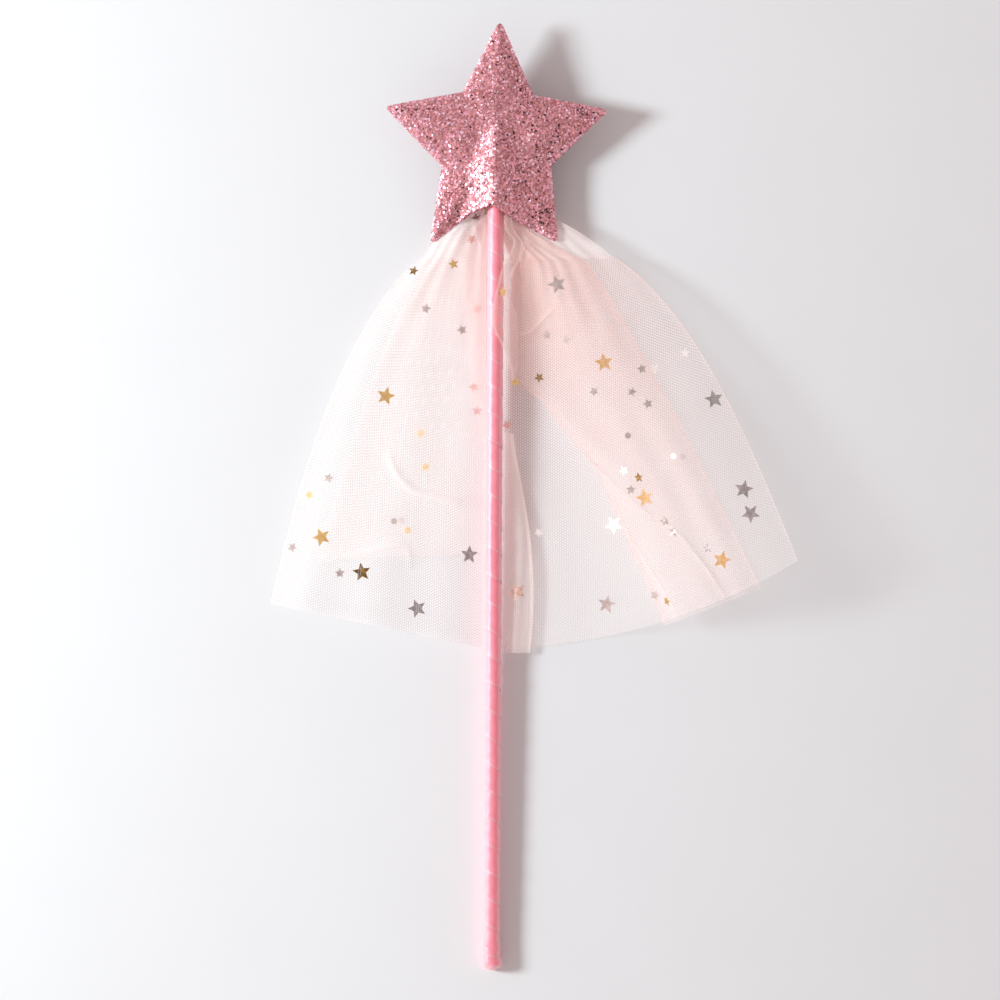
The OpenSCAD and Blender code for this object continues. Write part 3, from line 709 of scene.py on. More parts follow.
# The bunched cloth at the neck, whose lower edge meets the tops of the two halves
def gather(u, v):
    clear, seam, pleated = wand["stickClear"], veil["seam"], 2 * math.pi * veil["gatherPleats"] * u
    leftTop = veil["leftOutline"][0][0] * veil["leftReach"]
    rightTop = veil["rightOutline"][0][0] * veil["rightReach"]
    a = np.radians(mix(*veil["gatherArc"], u))
    r = veil["gatherRadius"] + 0.3 * np.cos(pleated) * (1 - ease(0.5, 0.7, u))
    wide = mix(-leftTop, rightTop, u)
    uLeft = np.clip((-clear - wide) / (leftTop - clear), 0, 1)
    uRight = np.clip((wide - seam) / (rightTop - seam), 0, 1)
    none = np.zeros_like(wide)
    zLeft, zRight = leftUpper(uLeft, none)[..., 2], rightBack(uRight, none)[..., 2]
    low = mix(zLeft, zRight, np.clip((wide + clear) / (seam + clear), 0, 1))
    y = mix(veil["gatherTop"], wand["veilTop"] - 0.4, v)
    spread = np.interp(u, *zip(*veil["gatherSpread"]))
    pleat = 0.5 * np.sin(math.pi * v) * (1 - np.cos(pleated)) / 2 * (1 - ease(0.55, 0.75, u))
    x = mix(r * np.cos(a), wide, v**spread)
    z = mix(axisHeight(y) + r * np.sin(a), low, ease(0, 1, v**0.7)) - pleat * ease(0, 0.3, v) * 0.6
    # On the left the cloth puffs up beside the star's edge
    z = z + veil["gatherPuff"] * np.sin(math.pi * v) * (1 - ease(0.3, 0.45, u))
    z = z + sum(crease(x, y, *fold) for fold in veil["gatherCreases"])
    return underStar(np.stack([x, y, np.maximum(z, veil["lowest"] + 0.05)], axis=-1))


# A folded edge: the cloth turns under at one side and runs back a little way
def turnUnder(points, side, radius, back):
    rim, inside = (points[-1], points[-3]) if side == "outer" else (points[0], points[2])
    out = rim - inside
    out[:, 2] = 0
    out /= np.maximum(np.linalg.norm(out, axis=1, keepdims=True), 1e-9)
    down = np.array([0, 0, -1.0])
    depth = np.interp(np.linspace(0, 1, len(rim)), np.linspace(0, 1, len(back)), back)[:, None]
    rows = []
    for angle in np.radians((35, 70, 110, 145, 180)):
        rows.append(rim + out * radius * math.sin(angle) + down * radius * (1 - math.cos(angle)))
    for share in (0.34, 0.67, 1.0):
        rows.append(rim - out * depth * share + down * radius * 2)
    extra = np.array(rows)
    extra[..., 2] = np.maximum(extra[..., 2], veil["lowest"])
    return np.concatenate([points, extra]) if side == "outer" else np.concatenate([extra[::-1], points])


# Cloth lengths across and along, so that the net keeps its size everywhere
def clothLengths(points, hold):
    across = np.zeros(points.shape[:2])
    across[1:] = np.cumsum(np.linalg.norm(np.diff(points, axis=0), axis=2), axis=0)
    # Gathered cloth keeps its width, so its holes press narrow
    across[:, :hold] = across[:, hold : hold + 1]
    along = np.zeros(points.shape[:2])
    along[:, 1:] = np.cumsum(np.linalg.norm(np.diff(points, axis=1), axis=2), axis=1)
    return np.stack([across, along], axis=-1).reshape(-1, 2)


# Each layer of the veil: its shape, steps across and along, where it starts, folded edges with their radius
# and the depth of their return from top to hem, how bunched it is and how pale its painted shade leaves it
# from top to hem, and its body
tulleLayers = {
    "tulleGather": (gather, 156, 16, 0.0, (), (0.6, 0.35), (0.7, 0.85), "wand"),
    "tulleLeftUpper": (
        leftUpper, 90, 150, 0.0, (("outer", 0.3, (0.8, 0.8)), ("inner", 0.6, (11, 9, 6, 1, 1, 1, 1))),
        (0.35, 0.12, 0.04, 0), (0.85, 1, 1, 1), "veil_left",
    ),
    "tulleLeftUnder": (
        leftUnder, 50, 90, veil["neckShare"], (),
        (0.5, 0.25, 0.08, 0.03, 0), (0.6, 0.85, 1, 1), "veil_left",
    ),
    "tulleRightBack": (
        rightBack, 84, 110, 0.0, (("outer", 0.3, (0.8, 0.8)),),
        (0.35, 0.12, 0.04, 0), (0.45, 0.55, 0.65, 0.85), "veil_right",
    ),
    "tulleRightFront": (
        rightFront, 90, 170, veil["neckShare"], (("outer", 0.4, (1.2, 1.0)), ("inner", 0.5, (2.0, 2.0))),
        (0.5, 0.25, 0.08, 0.03, 0), (0.15, 0.15, 0.12, 0.2, 0.45), "veil_right",
    ),
    "tulleRightStrip": (
        rightStrip, 12, 70, 0.0, (("outer", 0.4, (1.0, 1.0)),), (0.45, 0.35), (1.0, 1.0), "veil_right",
    ),
    "tulleRightRuffle": (
        rightRuffle, 24, 170, 0.0, (("outer", 0.25, (0.9, 0.9)), ("inner", 0.25, (0.9, 0.9))),
        (0.3, 0.2, 0.1), (0.4, 0.5, 0.55), "veil_right",
    ),
}
# Where a layer is creased it lies double, so its net reads denser there
layerCreases = {
    "tulleGather": veil["gatherCreases"],
    "tulleLeftUpper": veil["leftCreases"],
    "tulleRightFront": veil["frontCreases"],
}
# Cut sizes in metres: width across the hem, length from neck to hem, and the share of these that is cloth
tulleCuts = {
    "tulleGather": (0.092, 0.019, 0.85),
    "tulleLeftUpper": (0.118, 0.185, 0.6),
    "tulleLeftUnder": (0.080, 0.150, 0.62),
    "tulleRightBack": (0.150, 0.175, 0.62),
    "tulleRightFront": (0.075, 0.195, 0.7),
    "tulleRightStrip": (0.018, 0.092, 0.9),
    "tulleRightRuffle": (0.016, 0.066, 0.9),
}


def spreadDown(row, steps, shape):
    values = np.interp(np.linspace(0, 1, steps), np.linspace(0, 1, len(row)), row)
    return np.broadcast_to(values, shape)


for name, (place, across, along, start, turned, bunched, paintedShadeRows, body) in tulleLayers.items():
    u, v = np.meshgrid(np.linspace(0, 1, across + 1), np.linspace(start, 1, along + 1), indexing="ij")
    points = place(u, v)
    for side, radius, back in turned:
        points = turnUnder(points, side, radius, back)
    shape = points.shape[:2]
    # The dye attribute carries painted shade: deeper where a layer lies in shade, paler where it lies in
    # light
    bunch, dye = (spreadDown(row, along + 1, shape) for row in (bunched, paintedShadeRows))
    for line, height, width in layerCreases.get(name, ()):
        bunch = bunch + crease(points[..., 0], points[..., 1], line, tulleLook["creaseBunch"], width)
    hold = along if name == "tulleGather" else int(np.argmax(v[0] >= 0))
    cloth = clothLengths(points, hold)
    piece = makePiece(name, layVeil(points), gridFaces(*shape), [tulleNet], uv=cloth, bunch=bunch, dye=dye)
    settle(piece, body, "".join("_" + c.lower() if c.isupper() else c for c in name))
    width, length, share = tulleCuts[name]
print("veil laid in", len(tulleLayers), "layers")

# Foil stars and dots
foilSizes = {
    "large": 8.2,
    "small": 4.6,
    "dot": 2.6,
    "waist": 0.45,
    "lift": 0.3,
    "thickness": 0.12,
    "cling": 0.7,
}
# A piece held at one side turns from the cloth to a way of its own, by a share: level, or to the light
foilLies = (
    ((0.0, 0.0, 1.0), 0.65, {
        rightFront: ("silver", "stampedSilver", "stampedGold"),
        leftUpper: ("paleGold",),
        gather: ("paleSilver",),
    }),
    ((-0.3, 0.05, 0.95), 0.6, {rightBack: ("paleSilver",)}),
)
# Groups by size, body, slot and node; each piece has its layer, place, turn in degrees and finish
foilGroups = {
    "goldLargeLeft": ("large", "veil_left", "gold_foil", "left_gold_large_stars", (
        (leftUpper, -45.9, 243.1, 12, "gold"), (leftUpper, -72.6, 183.5, 40, "gold"),
        (leftUpper, -55.5, 168.9, 25, "darkGold"))),
    "goldSmallLeft": ("small", "veil_left", "gold_foil", "left_gold_small_stars", (
        (leftUpper, -34.5, 296.1, 0, "darkGold"), (leftUpper, -17.8, 299.1, 20, "gold"),
        (leftUpper, -77.9, 201.3, 50, "paleGold"), (leftUnder, -31.4, 227.7, 30, "paleGold"),
        (leftUnder, -29.2, 213.5, 8, "paleGold"))),
    "silverLargeLeft": ("large", "veil_left", "silver_foil", "left_silver_large_stars", (
        (leftUpper, -10.5, 176.4, 15, "darkSilver"), (leftUpper, -32.2, 153.7, 33, "darkSilver"))),
    "silverSmallLeft": ("small", "veil_left", "silver_foil", "left_silver_small_stars", (
        (leftUpper, -29.3, 280.1, 10, "stampedSilver"), (leftUpper, -14.0, 271.3, 44, "stampedSilver"),
        (leftUpper, -69.8, 208.4, 5, "stampedSilver"), (leftUpper, -84.9, 179.1, 60, "silver"),
        (leftUpper, -64.8, 168.4, 18, "silver"), (leftUnder, -8.8, 247.4, 28, "roseSilver"),
        (leftUnder, -7.4, 237.3, 3, "roseSilver"), (leftUnder, -7.6, 280.6, 20, "roseSilver"))),
    "foilDotsLeft": ("dot", "veil_left", "silver_foil", "left_foil_dots", (
        (leftUnder, -42.5, 190.3, 0, "silver"), (leftUnder, -39.2, 190.8, 0, "paleSilver"),
        (leftUnder, -36.6, 186.5, 0, "paleGold"))),
    "goldLargeRight": ("large", "veil_right", "gold_foil", "right_gold_large_stars", (
        (rightFront, 45.7, 257.4, 8, "stampedGold"), (rightFront, 63.2, 200.8, 22, "stampedGold"),
        (rightFront, 94.8, 175.1, 50, "stampedGold"))),
    "goldSmallRight": ("small", "veil_right", "gold_foil", "right_gold_small_stars", (
        (rightFront, 18.8, 251.4, 30, "darkGold"), (rightFront, 60.6, 209.3, 14, "darkGold"),
        (rightFront, 72.8, 157.6, 40, "gold"), (rightRuffle, 3.0, 287.2, 10, "gold"),
        (rightFront, 8.6, 249.6, 25, "gold"))),
    "silverLargeRight": ("large", "veil_right", "silver_foil", "right_silver_large_stars", (
        (rightFront, 26.0, 290.4, 20, "silver"), (rightBack, 50.7, 189.3, 16, "paleSilver"),
        (rightBack, 48.0, 155.6, 47, "stampedSilver"), (rightBack, 104.0, 204.5, 30, "darkSilver"),
        (rightBack, 106.8, 194.5, 6, "darkSilver"), (rightBack, 91.7, 242.2, 52, "darkSilver"),
        (rightStrip, 9.9, 160.7, 24, "tanSilver"))),
    "silverSmallRight": ("small", "veil_right", "silver_foil", "right_silver_small_stars", (
        (rightFront, 21.9, 269.2, 5, "stampedSilver"), (rightFront, 29.9, 267.3, 48, "silver"),
        (rightFront, 41.7, 245.3, 33, "stampedSilver"), (rightFront, 61.6, 254.8, 12, "silver"),
        (rightFront, 57.4, 245.1, 60, "stampedSilver"), (rightFront, 64.0, 240.1, 26, "silver"),
        (rightFront, 57.4, 204.2, 9, "silver"), (rightFront, 71.4, 191.2, 17, "stampedSilver"),
        (rightFront, 75.1, 186.6, 55, "stampedSilver"), (rightFront, 89.1, 180.0, 2, "darkSilver"),
        (rightFront, 67.9, 159.9, 36, "silver"), (rightBack, 19.1, 185.9, 22, "paleSilver"),
        (rightBack, 54.6, 212.2, 9, "paleSilver"), (rightBack, 67.1, 255.0, 11, "paleSilver"),
        (rightBack, 79.7, 261.6, 39, "paleSilver"), (rightBack, 5.2, 231.3, 14, "roseSilver"))),
    "foilDotsRight": ("dot", "veil_right", "silver_foil", "right_foil_dots", (
        (rightFront, 55.8, 226.8, 0, "stampedSilver"), (rightFront, 74.8, 218.3, 0, "paleSilver"),
        (rightFront, 78.6, 217.9, 0, "paleSilver"))),
    "neckSilverStar": ("small", "wand", "silver_foil", "neck_silver_star", (
        (gather, -8.2, 318.6, 15, "paleSilver"), (gather, -10.1, 309.5, 30, "roseSilver"))),
}


def foilLie(place, finish):
    for way, share, finishes in foilLies:
        if finish in finishes.get(place, ()):
            return np.array(way), share
    return np.array([0.0, 0.0, 1.0]), 0.0


# Shares across and along a layer at a place over the table, by closer and closer looks
def spotOn(place, x, y):
    middle, span = np.array([0.5, 0.5]), 0.5
    for look in range(7):
        shares = middle[:, None] + np.linspace(-span, span, 25)
        u, v = np.meshgrid(*np.clip(shares, 0, 1), indexing="ij")
        laid = place(u, v)
        nearest = np.argmin((laid[..., 0] - x) ** 2 + (laid[..., 1] - y) ** 2)
        middle, span = np.array([u.flat[nearest], v.flat[nearest]]), span / 6
    return middle


# One foil shape that follows the cloth under it, as a thin closed plate in rings from its middle
def foilShape(place, x, y, turn, finish, size):
    def spot(a, b):
        return place(np.array(a), np.array(b))

    u, v = spotOn(place, x, y)
    way, share = foilLie(place, finish)
    step = 0.02
    middle = spot(u, v)
    across = (spot(u + step, v) - spot(u - step, v)) / (2 * step)
    down = (spot(u, v + step) - spot(u, v - step)) / (2 * step)
    normal = np.cross(across, down)
    normal *= np.sign(normal[2]) / np.linalg.norm(normal)
    normal = mix(normal, way, share)
    normal /= np.linalg.norm(normal)
    right = across - normal * (across @ normal)
    right /= np.linalg.norm(right)
    if right[0] < 0:
        right = -right
    up = np.cross(normal, right)
    half = foilSizes[size] / 2
    sides = 20 if size == "dot" else 10
    angles = np.radians(turn + 90 + np.arange(sides) * 360 / sides)
    reach = np.full(sides, half)
    if size != "dot":
        reach[1::2] *= foilSizes["waist"]
    toShares = np.linalg.pinv(np.stack([across, down], axis=1))
    top = [middle + normal * foilSizes["lift"]]
    for out in (0.5, 1.0):
        for a, r in zip(angles, reach):
            offset = out * r * (math.cos(a) * right + math.sin(a) * up)
            du, dv = toShares @ offset
            cloth = spot(np.clip(u + du, 0, 1), np.clip(v + dv, 0, 1))
            rise = foilSizes["cling"] * (1 - share) * ((cloth - middle) @ normal)
            top.append(middle + offset + normal * (foilSizes["lift"] + rise))
    top = np.array(top)
    last, count = 1 + sides, len(top)
    faces = plateFaces(sides, 2)
    for k in range(sides):
        n = (k + 1) % sides
        faces.append((last + k, last + k + count, last + n + count, last + n))
    return np.concatenate([top, top - normal * foilSizes["thickness"]]), faces


for name, (size, body, slot, node, spots) in foilGroups.items():
    finishes = sorted({spot[4] for spot in spots})
    points, faces, tones, count = [], [], [], 0
    for spot in spots:
        shape, shapeFaces = foilShape(*spot, size)
        points.append(shape)
        faces += [tuple(i + count for i in face) for face in shapeFaces]
        tones += [finishes.index(spot[4])] * len(shapeFaces)
        count += len(shape)
    points = layVeil(np.concatenate(points))
    piece = makePiece(name, points, faces, [foils[f] for f in finishes], smooth=False, tones=tones)
    # So thin and so near the net that a shadow of its own would be lost in the net's
    piece.visible_shadow = False
    settle(piece, body, node)
print("foil strewn:", sum(len(group[4]) for group in foilGroups.values()), "pieces")


def starPanel(side):
    inShares, outShares = np.linspace(0, 0.62, 14)[1:], np.linspace(0.62, 1, star["rings"] - 12)[1:]
    shares = np.concatenate([inShares, outShares])
    ring = np.concatenate([[[0, 0]]] + [outline * s for s in shares])
    inner = panelHeight(ring[:, 0], ring[:, 1], side)
    outer = inner + star["panel"]
    count, steps = len(ring), len(outline)
    last, middle = count - steps, 2 * count
    # The cut edge bows out a little between the two faces
    half = np.full((steps, 1), (inner[-1] + outer[-1]) / 2)
    bow = np.concatenate([outline * star["edgeBow"], half], axis=1)
    faces = plateFaces(steps, len(shares))
    for k in range(steps):
        n = (k + 1) % steps
        faces.append((last + k, middle + k, middle + n, last + n))
        faces.append((middle + k, last + count + k, last + count + n, middle + n))
    points = np.concatenate([np.column_stack([ring, outer]), np.column_stack([ring, inner]), bow])
    if side == "back":
        points[:, 2] *= -1
        faces = [tuple(reversed(face)) for face in faces]
    return laidStar(points), faces


# Glitter: thin hexagons laid at all angles over the panel, and standing along its cut edge
def starFlakes(side, seed):
    chance = np.random.default_rng(seed)
    large, small = star["flakes"][side]
    total = large + small
    spots = chance.uniform(-star["field"], star["field"], (total * 6, 2))
    spots = spots[np.hypot(*spots.T) < 0.997 * reachAt(*spots.T)][:total]
    total = len(spots)
    largeSizes = chance.uniform(*star["largeFlake"], total)
    smallSizes = chance.uniform(*star["smallFlake"], total)
    sizes = np.where(np.arange(total) < large, largeSizes, smallSizes)
    step = 0.3
    x, y = spots.T
    top = panelHeight(x, y, side) + star["panel"]
    slopeX = (panelHeight(x + step, y, side) - panelHeight(x - step, y, side)) / (2 * step)
    slopeY = (panelHeight(x, y + step, side) - panelHeight(x, y - step, side)) / (2 * step)
    normal = np.column_stack([-np.clip(slopeX, -1.2, 1.2), -np.clip(slopeY, -1.2, 1.2), np.ones(total)])
    normal += chance.normal(0, star["tumble"], (total, 3))
    centre = np.column_stack([x, y, top + chance.uniform(*star["flakeLift"], total)])
    # Flakes on the cut edge face outwards
    edgeCount = star["edgeFlakes"]
    pick = chance.integers(0, len(outline), edgeCount)
    along = outline[(pick + 1) % len(outline)] - outline[pick]
    out = np.column_stack([along[:, 1], -along[:, 0]])
    out /= np.linalg.norm(out, axis=1, keepdims=True)
    low = chance.uniform(0.1, 0.9, edgeCount)
    edgeSpots = outline[pick] + along * chance.uniform(0, 1, (edgeCount, 1)) + out * 0.12
    edgeNormal = np.column_stack([out, 0.9 + 0.6 * low])
    edgeNormal += chance.normal(0, star["edgeTumble"], (edgeCount, 3))
    centre = np.concatenate([centre, np.column_stack([edgeSpots, low])])
    normal = np.concatenate([normal, edgeNormal])
    sizes = np.concatenate([sizes, chance.uniform(*star["edgeFlake"], edgeCount)])
    total = len(centre)
    normal /= np.linalg.norm(normal, axis=1, keepdims=True)
    helper = np.where(np.abs(normal[:, :1]) < 0.8, [[1.0, 0, 0]], [[0, 1.0, 0]])
    right = np.cross(normal, helper)
    right /= np.linalg.norm(right, axis=1, keepdims=True)
    up = np.cross(normal, right)
    turn = chance.uniform(0, math.pi / 3, total)
    corners = []
    for k in range(6):
        a = turn + k * math.pi / 3
        corners.append(centre + sizes[:, None] * (np.cos(a)[:, None] * right + np.sin(a)[:, None] * up))
    points = np.stack(corners, axis=1).reshape(-1, 3)
    faces = np.arange(total * 6).reshape(total, 6)
    if side == "back":
        points[:, 2] *= -1
        faces = faces[:, ::-1]
    tones = flakeTones(*centre[:, :2].T, chance)
    return laidStar(points), faces.tolist(), tones


# Dark flakes lie in patches and low on the left leg, and grow more common towards the right as painted shade
# on the side turned from the lamp; the edge is paler
def flakeTones(x, y, chance):
    shares = np.array([share for name, colour, share in glitterLook["flakes"]])
    patch = np.sin(0.31 * x + 0.17 * y + 0.6) + np.sin(0.23 * y - 0.29 * x + 2.0)
    # Painted shade: more deep and dusky flakes towards the right, away from the lamp
    deep = 0.03 + 0.07 * ease(-10, 30, x) + 0.06 * patch * ease(-40, 30, x - 0.6 * y)
    leftLeg = np.exp(-((x + 21) ** 2 + (y + 31) ** 2) / 150)
    odds = np.tile(shares, (len(x), 1))
    odds[:, 0] = np.clip(deep, 0.006, 0.25) + 0.08 * leftLeg
    odds[:, 1] *= mix(0.7, 1.5, ease(-30, 30, x)) + 3.0 * leftLeg
    rim = np.hypot(x, y) > 0.95 * reachAt(x, y)
    odds[rim] *= (0.3, 0.5, 1.0, 2.0, 1.6)
    odds /= odds.sum(axis=1, keepdims=True)
    tones = (chance.uniform(0, 1, (len(x), 1)) > np.cumsum(odds, axis=1)).sum(axis=1)
    return np.minimum(tones, len(shares) - 1)


for number, side in enumerate(("front", "back")):
    title = side.capitalize()
    panel = makePiece("star" + title + "Panel", *starPanel(side), [glitterCloth])
    settle(panel, "wand", "star_" + side + "_panel")
    points, faces, tones = starFlakes(side, star["seed"] + number)
    flakes = makePiece("star" + title + "Glitter", points, faces, glitterFlakes, smooth=False, tones=tones)
    settle(flakes, "wand")
print("star made, with its glitter")

# The ribbon: one satin band wound left-handed, each turn lapping the one below
ribbon = {
    "start": 9.4,
    "end": 331.0,
    "pitch": 11.4,
    "firstSeam": 18.6,
    "lap": 0.5,
    "stepsPerTurn": 40,
    "tooth": 0.9,
    "toothDepth": 0.1,
    "uneven": 0.05,
    # Section of the band: share across its width and radius, lapping edge first, then back along the inside
    "section": (
        (0.0, 3.46), (0.004, 3.49), (0.015, 3.5), (0.05, 3.507), (0.12, 3.49), (0.2, 3.47), (0.3, 3.445),
        (0.4, 3.42), (0.5, 3.395), (0.6, 3.37), (0.7, 3.345), (0.8, 3.32), (0.9, 3.285), (0.95, 3.27),
        (1.0, 3.23), (1.0, 3.18), (0.7, 3.17), (0.35, 3.17), (0.1, 3.19), (0.0, 3.31),
    ),
    "outside": 3.25,
}


def ribbonWrap():
    pitch = ribbon["pitch"]
    width = pitch + ribbon["lap"]
    # Starts a turn early and ends a turn late, cut square at both ends
    turns = (ribbon["end"] - ribbon["start"]) / pitch + width / pitch - 0.06
    count = int(turns * ribbon["stepsPerTurn"]) + 1
    section = np.array(ribbon["section"])
    first = (ribbon["start"] + 0.3 - width - ribbon["firstSeam"]) / pitch
    turn = first + np.arange(count) / ribbon["stepsPerTurn"]
    angle = turn * 2 * math.pi
    length = angle * math.hypot(wand["ribbonRadius"], pitch / (2 * math.pi))
    sway = 0.18 * np.sin(1.403 * turn + 1.0) + 0.1 * np.sin(5.1 * turn)
    low = ribbon["firstSeam"] + pitch * turn + sway
    bottom = np.maximum(low, ribbon["start"])[:, None]
    top = np.minimum(low + width, ribbon["end"])[:, None]
    a, s = np.meshgrid(angle, section[:, 0], indexing="ij")
    r = np.broadcast_to(section[:, 1], a.shape)
    teeth = ribbon["toothDepth"] * np.sin(2 * math.pi * length / ribbon["tooth"])[:, None] * (s < 0.03)
    y = mix(bottom, top, s) + teeth * (top - bottom > 2)
    # Wound by hand, so the band lies a little unevenly
    waves = np.sin(0.95 * y + 2 * a) + 0.8 * np.sin(0.41 * y - 3 * a + 1.0) + 0.5 * np.sin(1.7 * y + a)
    r = r + ribbon["uneven"] * waves * (r > ribbon["outside"])
    points = np.stack([-r * np.sin(a), y, r * np.cos(a)], axis=-1)
    cloth = np.stack([np.broadcast_to(length[:, None], a.shape), y - low[:, None]], axis=-1)
    return layWand(points), tubeFaces(count, len(section), flip=True), cloth.reshape(-1, 2)


# The butt: a folded ribbon end that slopes down to the table, and a closing turn with a small tuft of threads
butt = {
    "length": 8.0,
    "radius": 3.62,
    "capLength": 3.5,
    "capSlope": 4.6,
    "bulge": 0.42,
    "bulgeRight": 0.3,
    "rows": 34,
    # Inside of the fold, from its open end down to the dowel's rounded end
    "lining": ((8.0, 3.05), (4.0, 3.05), (3.0, 2.8), (2.3, 2.25), (1.85, 1.65), (1.6, 0.5)),
    "lockStart": 6.5,
    "lockEnd": 10.4,
    "lockInside": 3.48,
    "lockRadius": 3.68,
    "sides": 64,
    "frays": 4,
    "frayRoot": (3.55, 6.5, 0.9),
    "frayRadius": 0.06,
    "fraySteps": 7,
    "fraySides": 5,
    "fraySeed": 7,
}


# Edges of the closing turn climb to the left and behind
def lockLean(a):
    return 0.8 + 0.7 * np.sin(a) - 0.8 * np.cos(a)


def buttFold():
    sides, rows, lock = butt["sides"], butt["rows"], butt["lockStart"]
    a = np.linspace(0, 2 * math.pi, sides, endpoint=False)
    radius, cap, slope = butt["radius"], butt["capLength"], butt["capSlope"]
    points = []
    for i in range(rows):
        y = 0.03 + (butt["length"] - 0.03) * (i / (rows - 1)) ** 1.7
        tucked = mix(radius, butt["lockInside"] - 0.02, ease(lock - 0.3, lock + 0.2, y))
        half = tucked + butt["bulge"] * (1 - ease(cap, lock - 0.2, y))
        half = half * math.sqrt(1 - max(0, (cap - y) / cap) ** 2)
        tall = tucked * math.sqrt(1 - max(0, (slope - y) / slope) ** 2)
        # Pleats where the end is pressed together
        pleat = 1 + 0.035 * np.sin(5 * a + 0.9 * y) * (1 - ease(0.5, 4, y)) * ease(0, 0.6, y)
        x = -half * pleat * np.sin(a) + butt["bulgeRight"] * (1 - ease(4, lock, y))
        z = tall * pleat * np.cos(a) - 0.85 * (tucked - tall)
        # The fold is cut off at a slant on the right
        slant = 0.55 * np.exp(-(((x - 2.8) / 1.1) ** 2) - (y / 1.6) ** 2)
        points.append(np.stack([x, y + slant + lockLean(a) * ease(cap, lock, y), z], axis=-1))
    for y, r in butt["lining"]:
        leaning = y + lockLean(a) * ease(cap, lock, y)
        points.append(np.stack([-r * np.sin(a), leaning, r * np.cos(a)], axis=-1))
    points = np.array(points)
    length = np.broadcast_to(a * radius, points.shape[:2])
    cloth = np.stack([length, points[..., 1] + 2], axis=-1).reshape(-1, 2)
    return layWand(points), tubeFaces(len(points), sides), cloth


def lockTurn():
    sides = butt["sides"]
    a = np.linspace(0, 2 * math.pi, sides, endpoint=False)
    teeth = 0.08 * np.sin(a * 24)
    low, high, inside, outside = butt["lockStart"], butt["lockEnd"], butt["lockInside"], butt["lockRadius"]
    profile = (
        (low, inside), (low, outside - 0.1), (low + 0.15, outside - 0.01), (mix(low, high, 0.5), outside),
        (high - 0.2, outside - 0.04), (high, outside - 0.1), (high, inside),
    )
    points = []
    for i, (y, r) in enumerate(profile):
        edge = teeth if i in (1, 2, 5) else 0 * a
        points.append(np.stack([-r * np.sin(a), y + lockLean(a) + edge, r * np.cos(a)], axis=-1))
    # The profile is closed, so its last ring meets its first again
    total = len(points) * sides
    faces = gridFaces(len(points) + 1, sides, roundAlong=True)
    faces = [[i % total for i in face] for face in faces]
    points = np.array(points)
    length = np.broadcast_to(a * outside, points.shape[:2])
    cloth = np.stack([length, points[..., 1] - lockLean(a) - low + 0.1], axis=-1).reshape(-1, 2)
    points = points.reshape(-1, 3)
    # A few threads stand off the right side at the lower edge, given the pale stitch colour as a painted
    # highlight for the light they catch
    paintedHighlightSpot = (0.25 * ribbonLook["stitchSpacing"] + 0.9 * 0.2, 0.2)
    chance = np.random.default_rng(butt["fraySeed"])
    steps, corners = butt["fraySteps"], butt["fraySides"]
    t = np.linspace(0, 1, steps)[:, None]
    ring = np.linspace(0, 2 * math.pi, corners, endpoint=False)
    fibre = butt["frayRadius"] * np.stack([0 * ring, np.cos(ring), np.sin(ring)], axis=-1)
    for k in range(butt["frays"]):
        root = np.array(butt["frayRoot"]) + [0, 0.3 * k, -0.3 * k]
        lead = np.array([1.0, chance.uniform(-0.2, 0.7), chance.uniform(0.1, 0.7)])
        bend = np.array([0.1, chance.uniform(-0.7, 0.3), -0.2])
        path = root + lead * t * chance.uniform(0.8, 1.5) + bend * t * t
        tube = path[:, None] + fibre
        faces += tubeFaces(steps, corners, start=len(points), flip=True)
        points = np.concatenate([points, tube.reshape(-1, 3)])
        cloth = np.concatenate([cloth, np.tile(paintedHighlightSpot, (steps * corners, 1))])
    return layWand(points), faces, cloth


ribbonPieces = (
    ("ribbonWrap", ribbonWrap, "ribbon_wrap"),
    ("ribbonButtFold", buttFold, "ribbon_butt_fold"),
    ("ribbonLockTurn", lockTurn, "ribbon_lock_turn"),
)
for name, shape, node in ribbonPieces:
    points, faces, cloth = shape()
    settle(makePiece(name, points, faces, [satin], uv=cloth), "wand", node)
print("ribbon wound and closed at the butt")


# Finishes of the pieces inside, each with a grain of its own size and stretch
def makeInside(name, light, dark, grain, stretch, depth, roughness, **sockets):
    material, tree, shader = startMaterial(name, Roughness=roughness, **sockets)
    place = addNode(tree, "ShaderNodeTexCoord").outputs["Object"]
    lay = addNode(tree, "ShaderNodeMapping", {"Vector": place, "Scale": stretch})
    scale = 1 / (grain * millimetre)
    value = addNode(tree, "ShaderNodeTexNoise", {"Vector": lay, "Scale": scale, "Detail": 5.0})
    tint = addNode(tree, "ShaderNodeValToRGB", {0: value}, [(0.3, dark), (0.7, light)])
    relief = {"Strength": 0.5, "Distance": depth * millimetre, "Height": value}
    setInputs(tree, shader, {"Base Color": tint, "Normal": addNode(tree, "ShaderNodeBump", relief)})
    return material


# These keep the shapes they have in the frame
even = (1, 1, 1)
insideLooks = {
    "glue_beads": makeInside("hotGlueSet", "#ece6d6", "#ddd4bd", 3.0, even, 0.1, 0.25, Subsurface_Weight=0.2),
    "tulle_heading": makeInside("nylonTullePressed", "#f5cdc7", "#e9b3ab", 0.5, (1, 0.2, 1), 0.2, 0.8),
    "gathering_thread": makeInside("polyesterThreadTwisted", "#f3e6e6", "#d9c2c2", 0.3, even, 0.1, 0.7),
}
for node, material in insideLooks.items():
    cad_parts[node].data.materials.clear()
    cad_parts[node].data.materials.append(material)

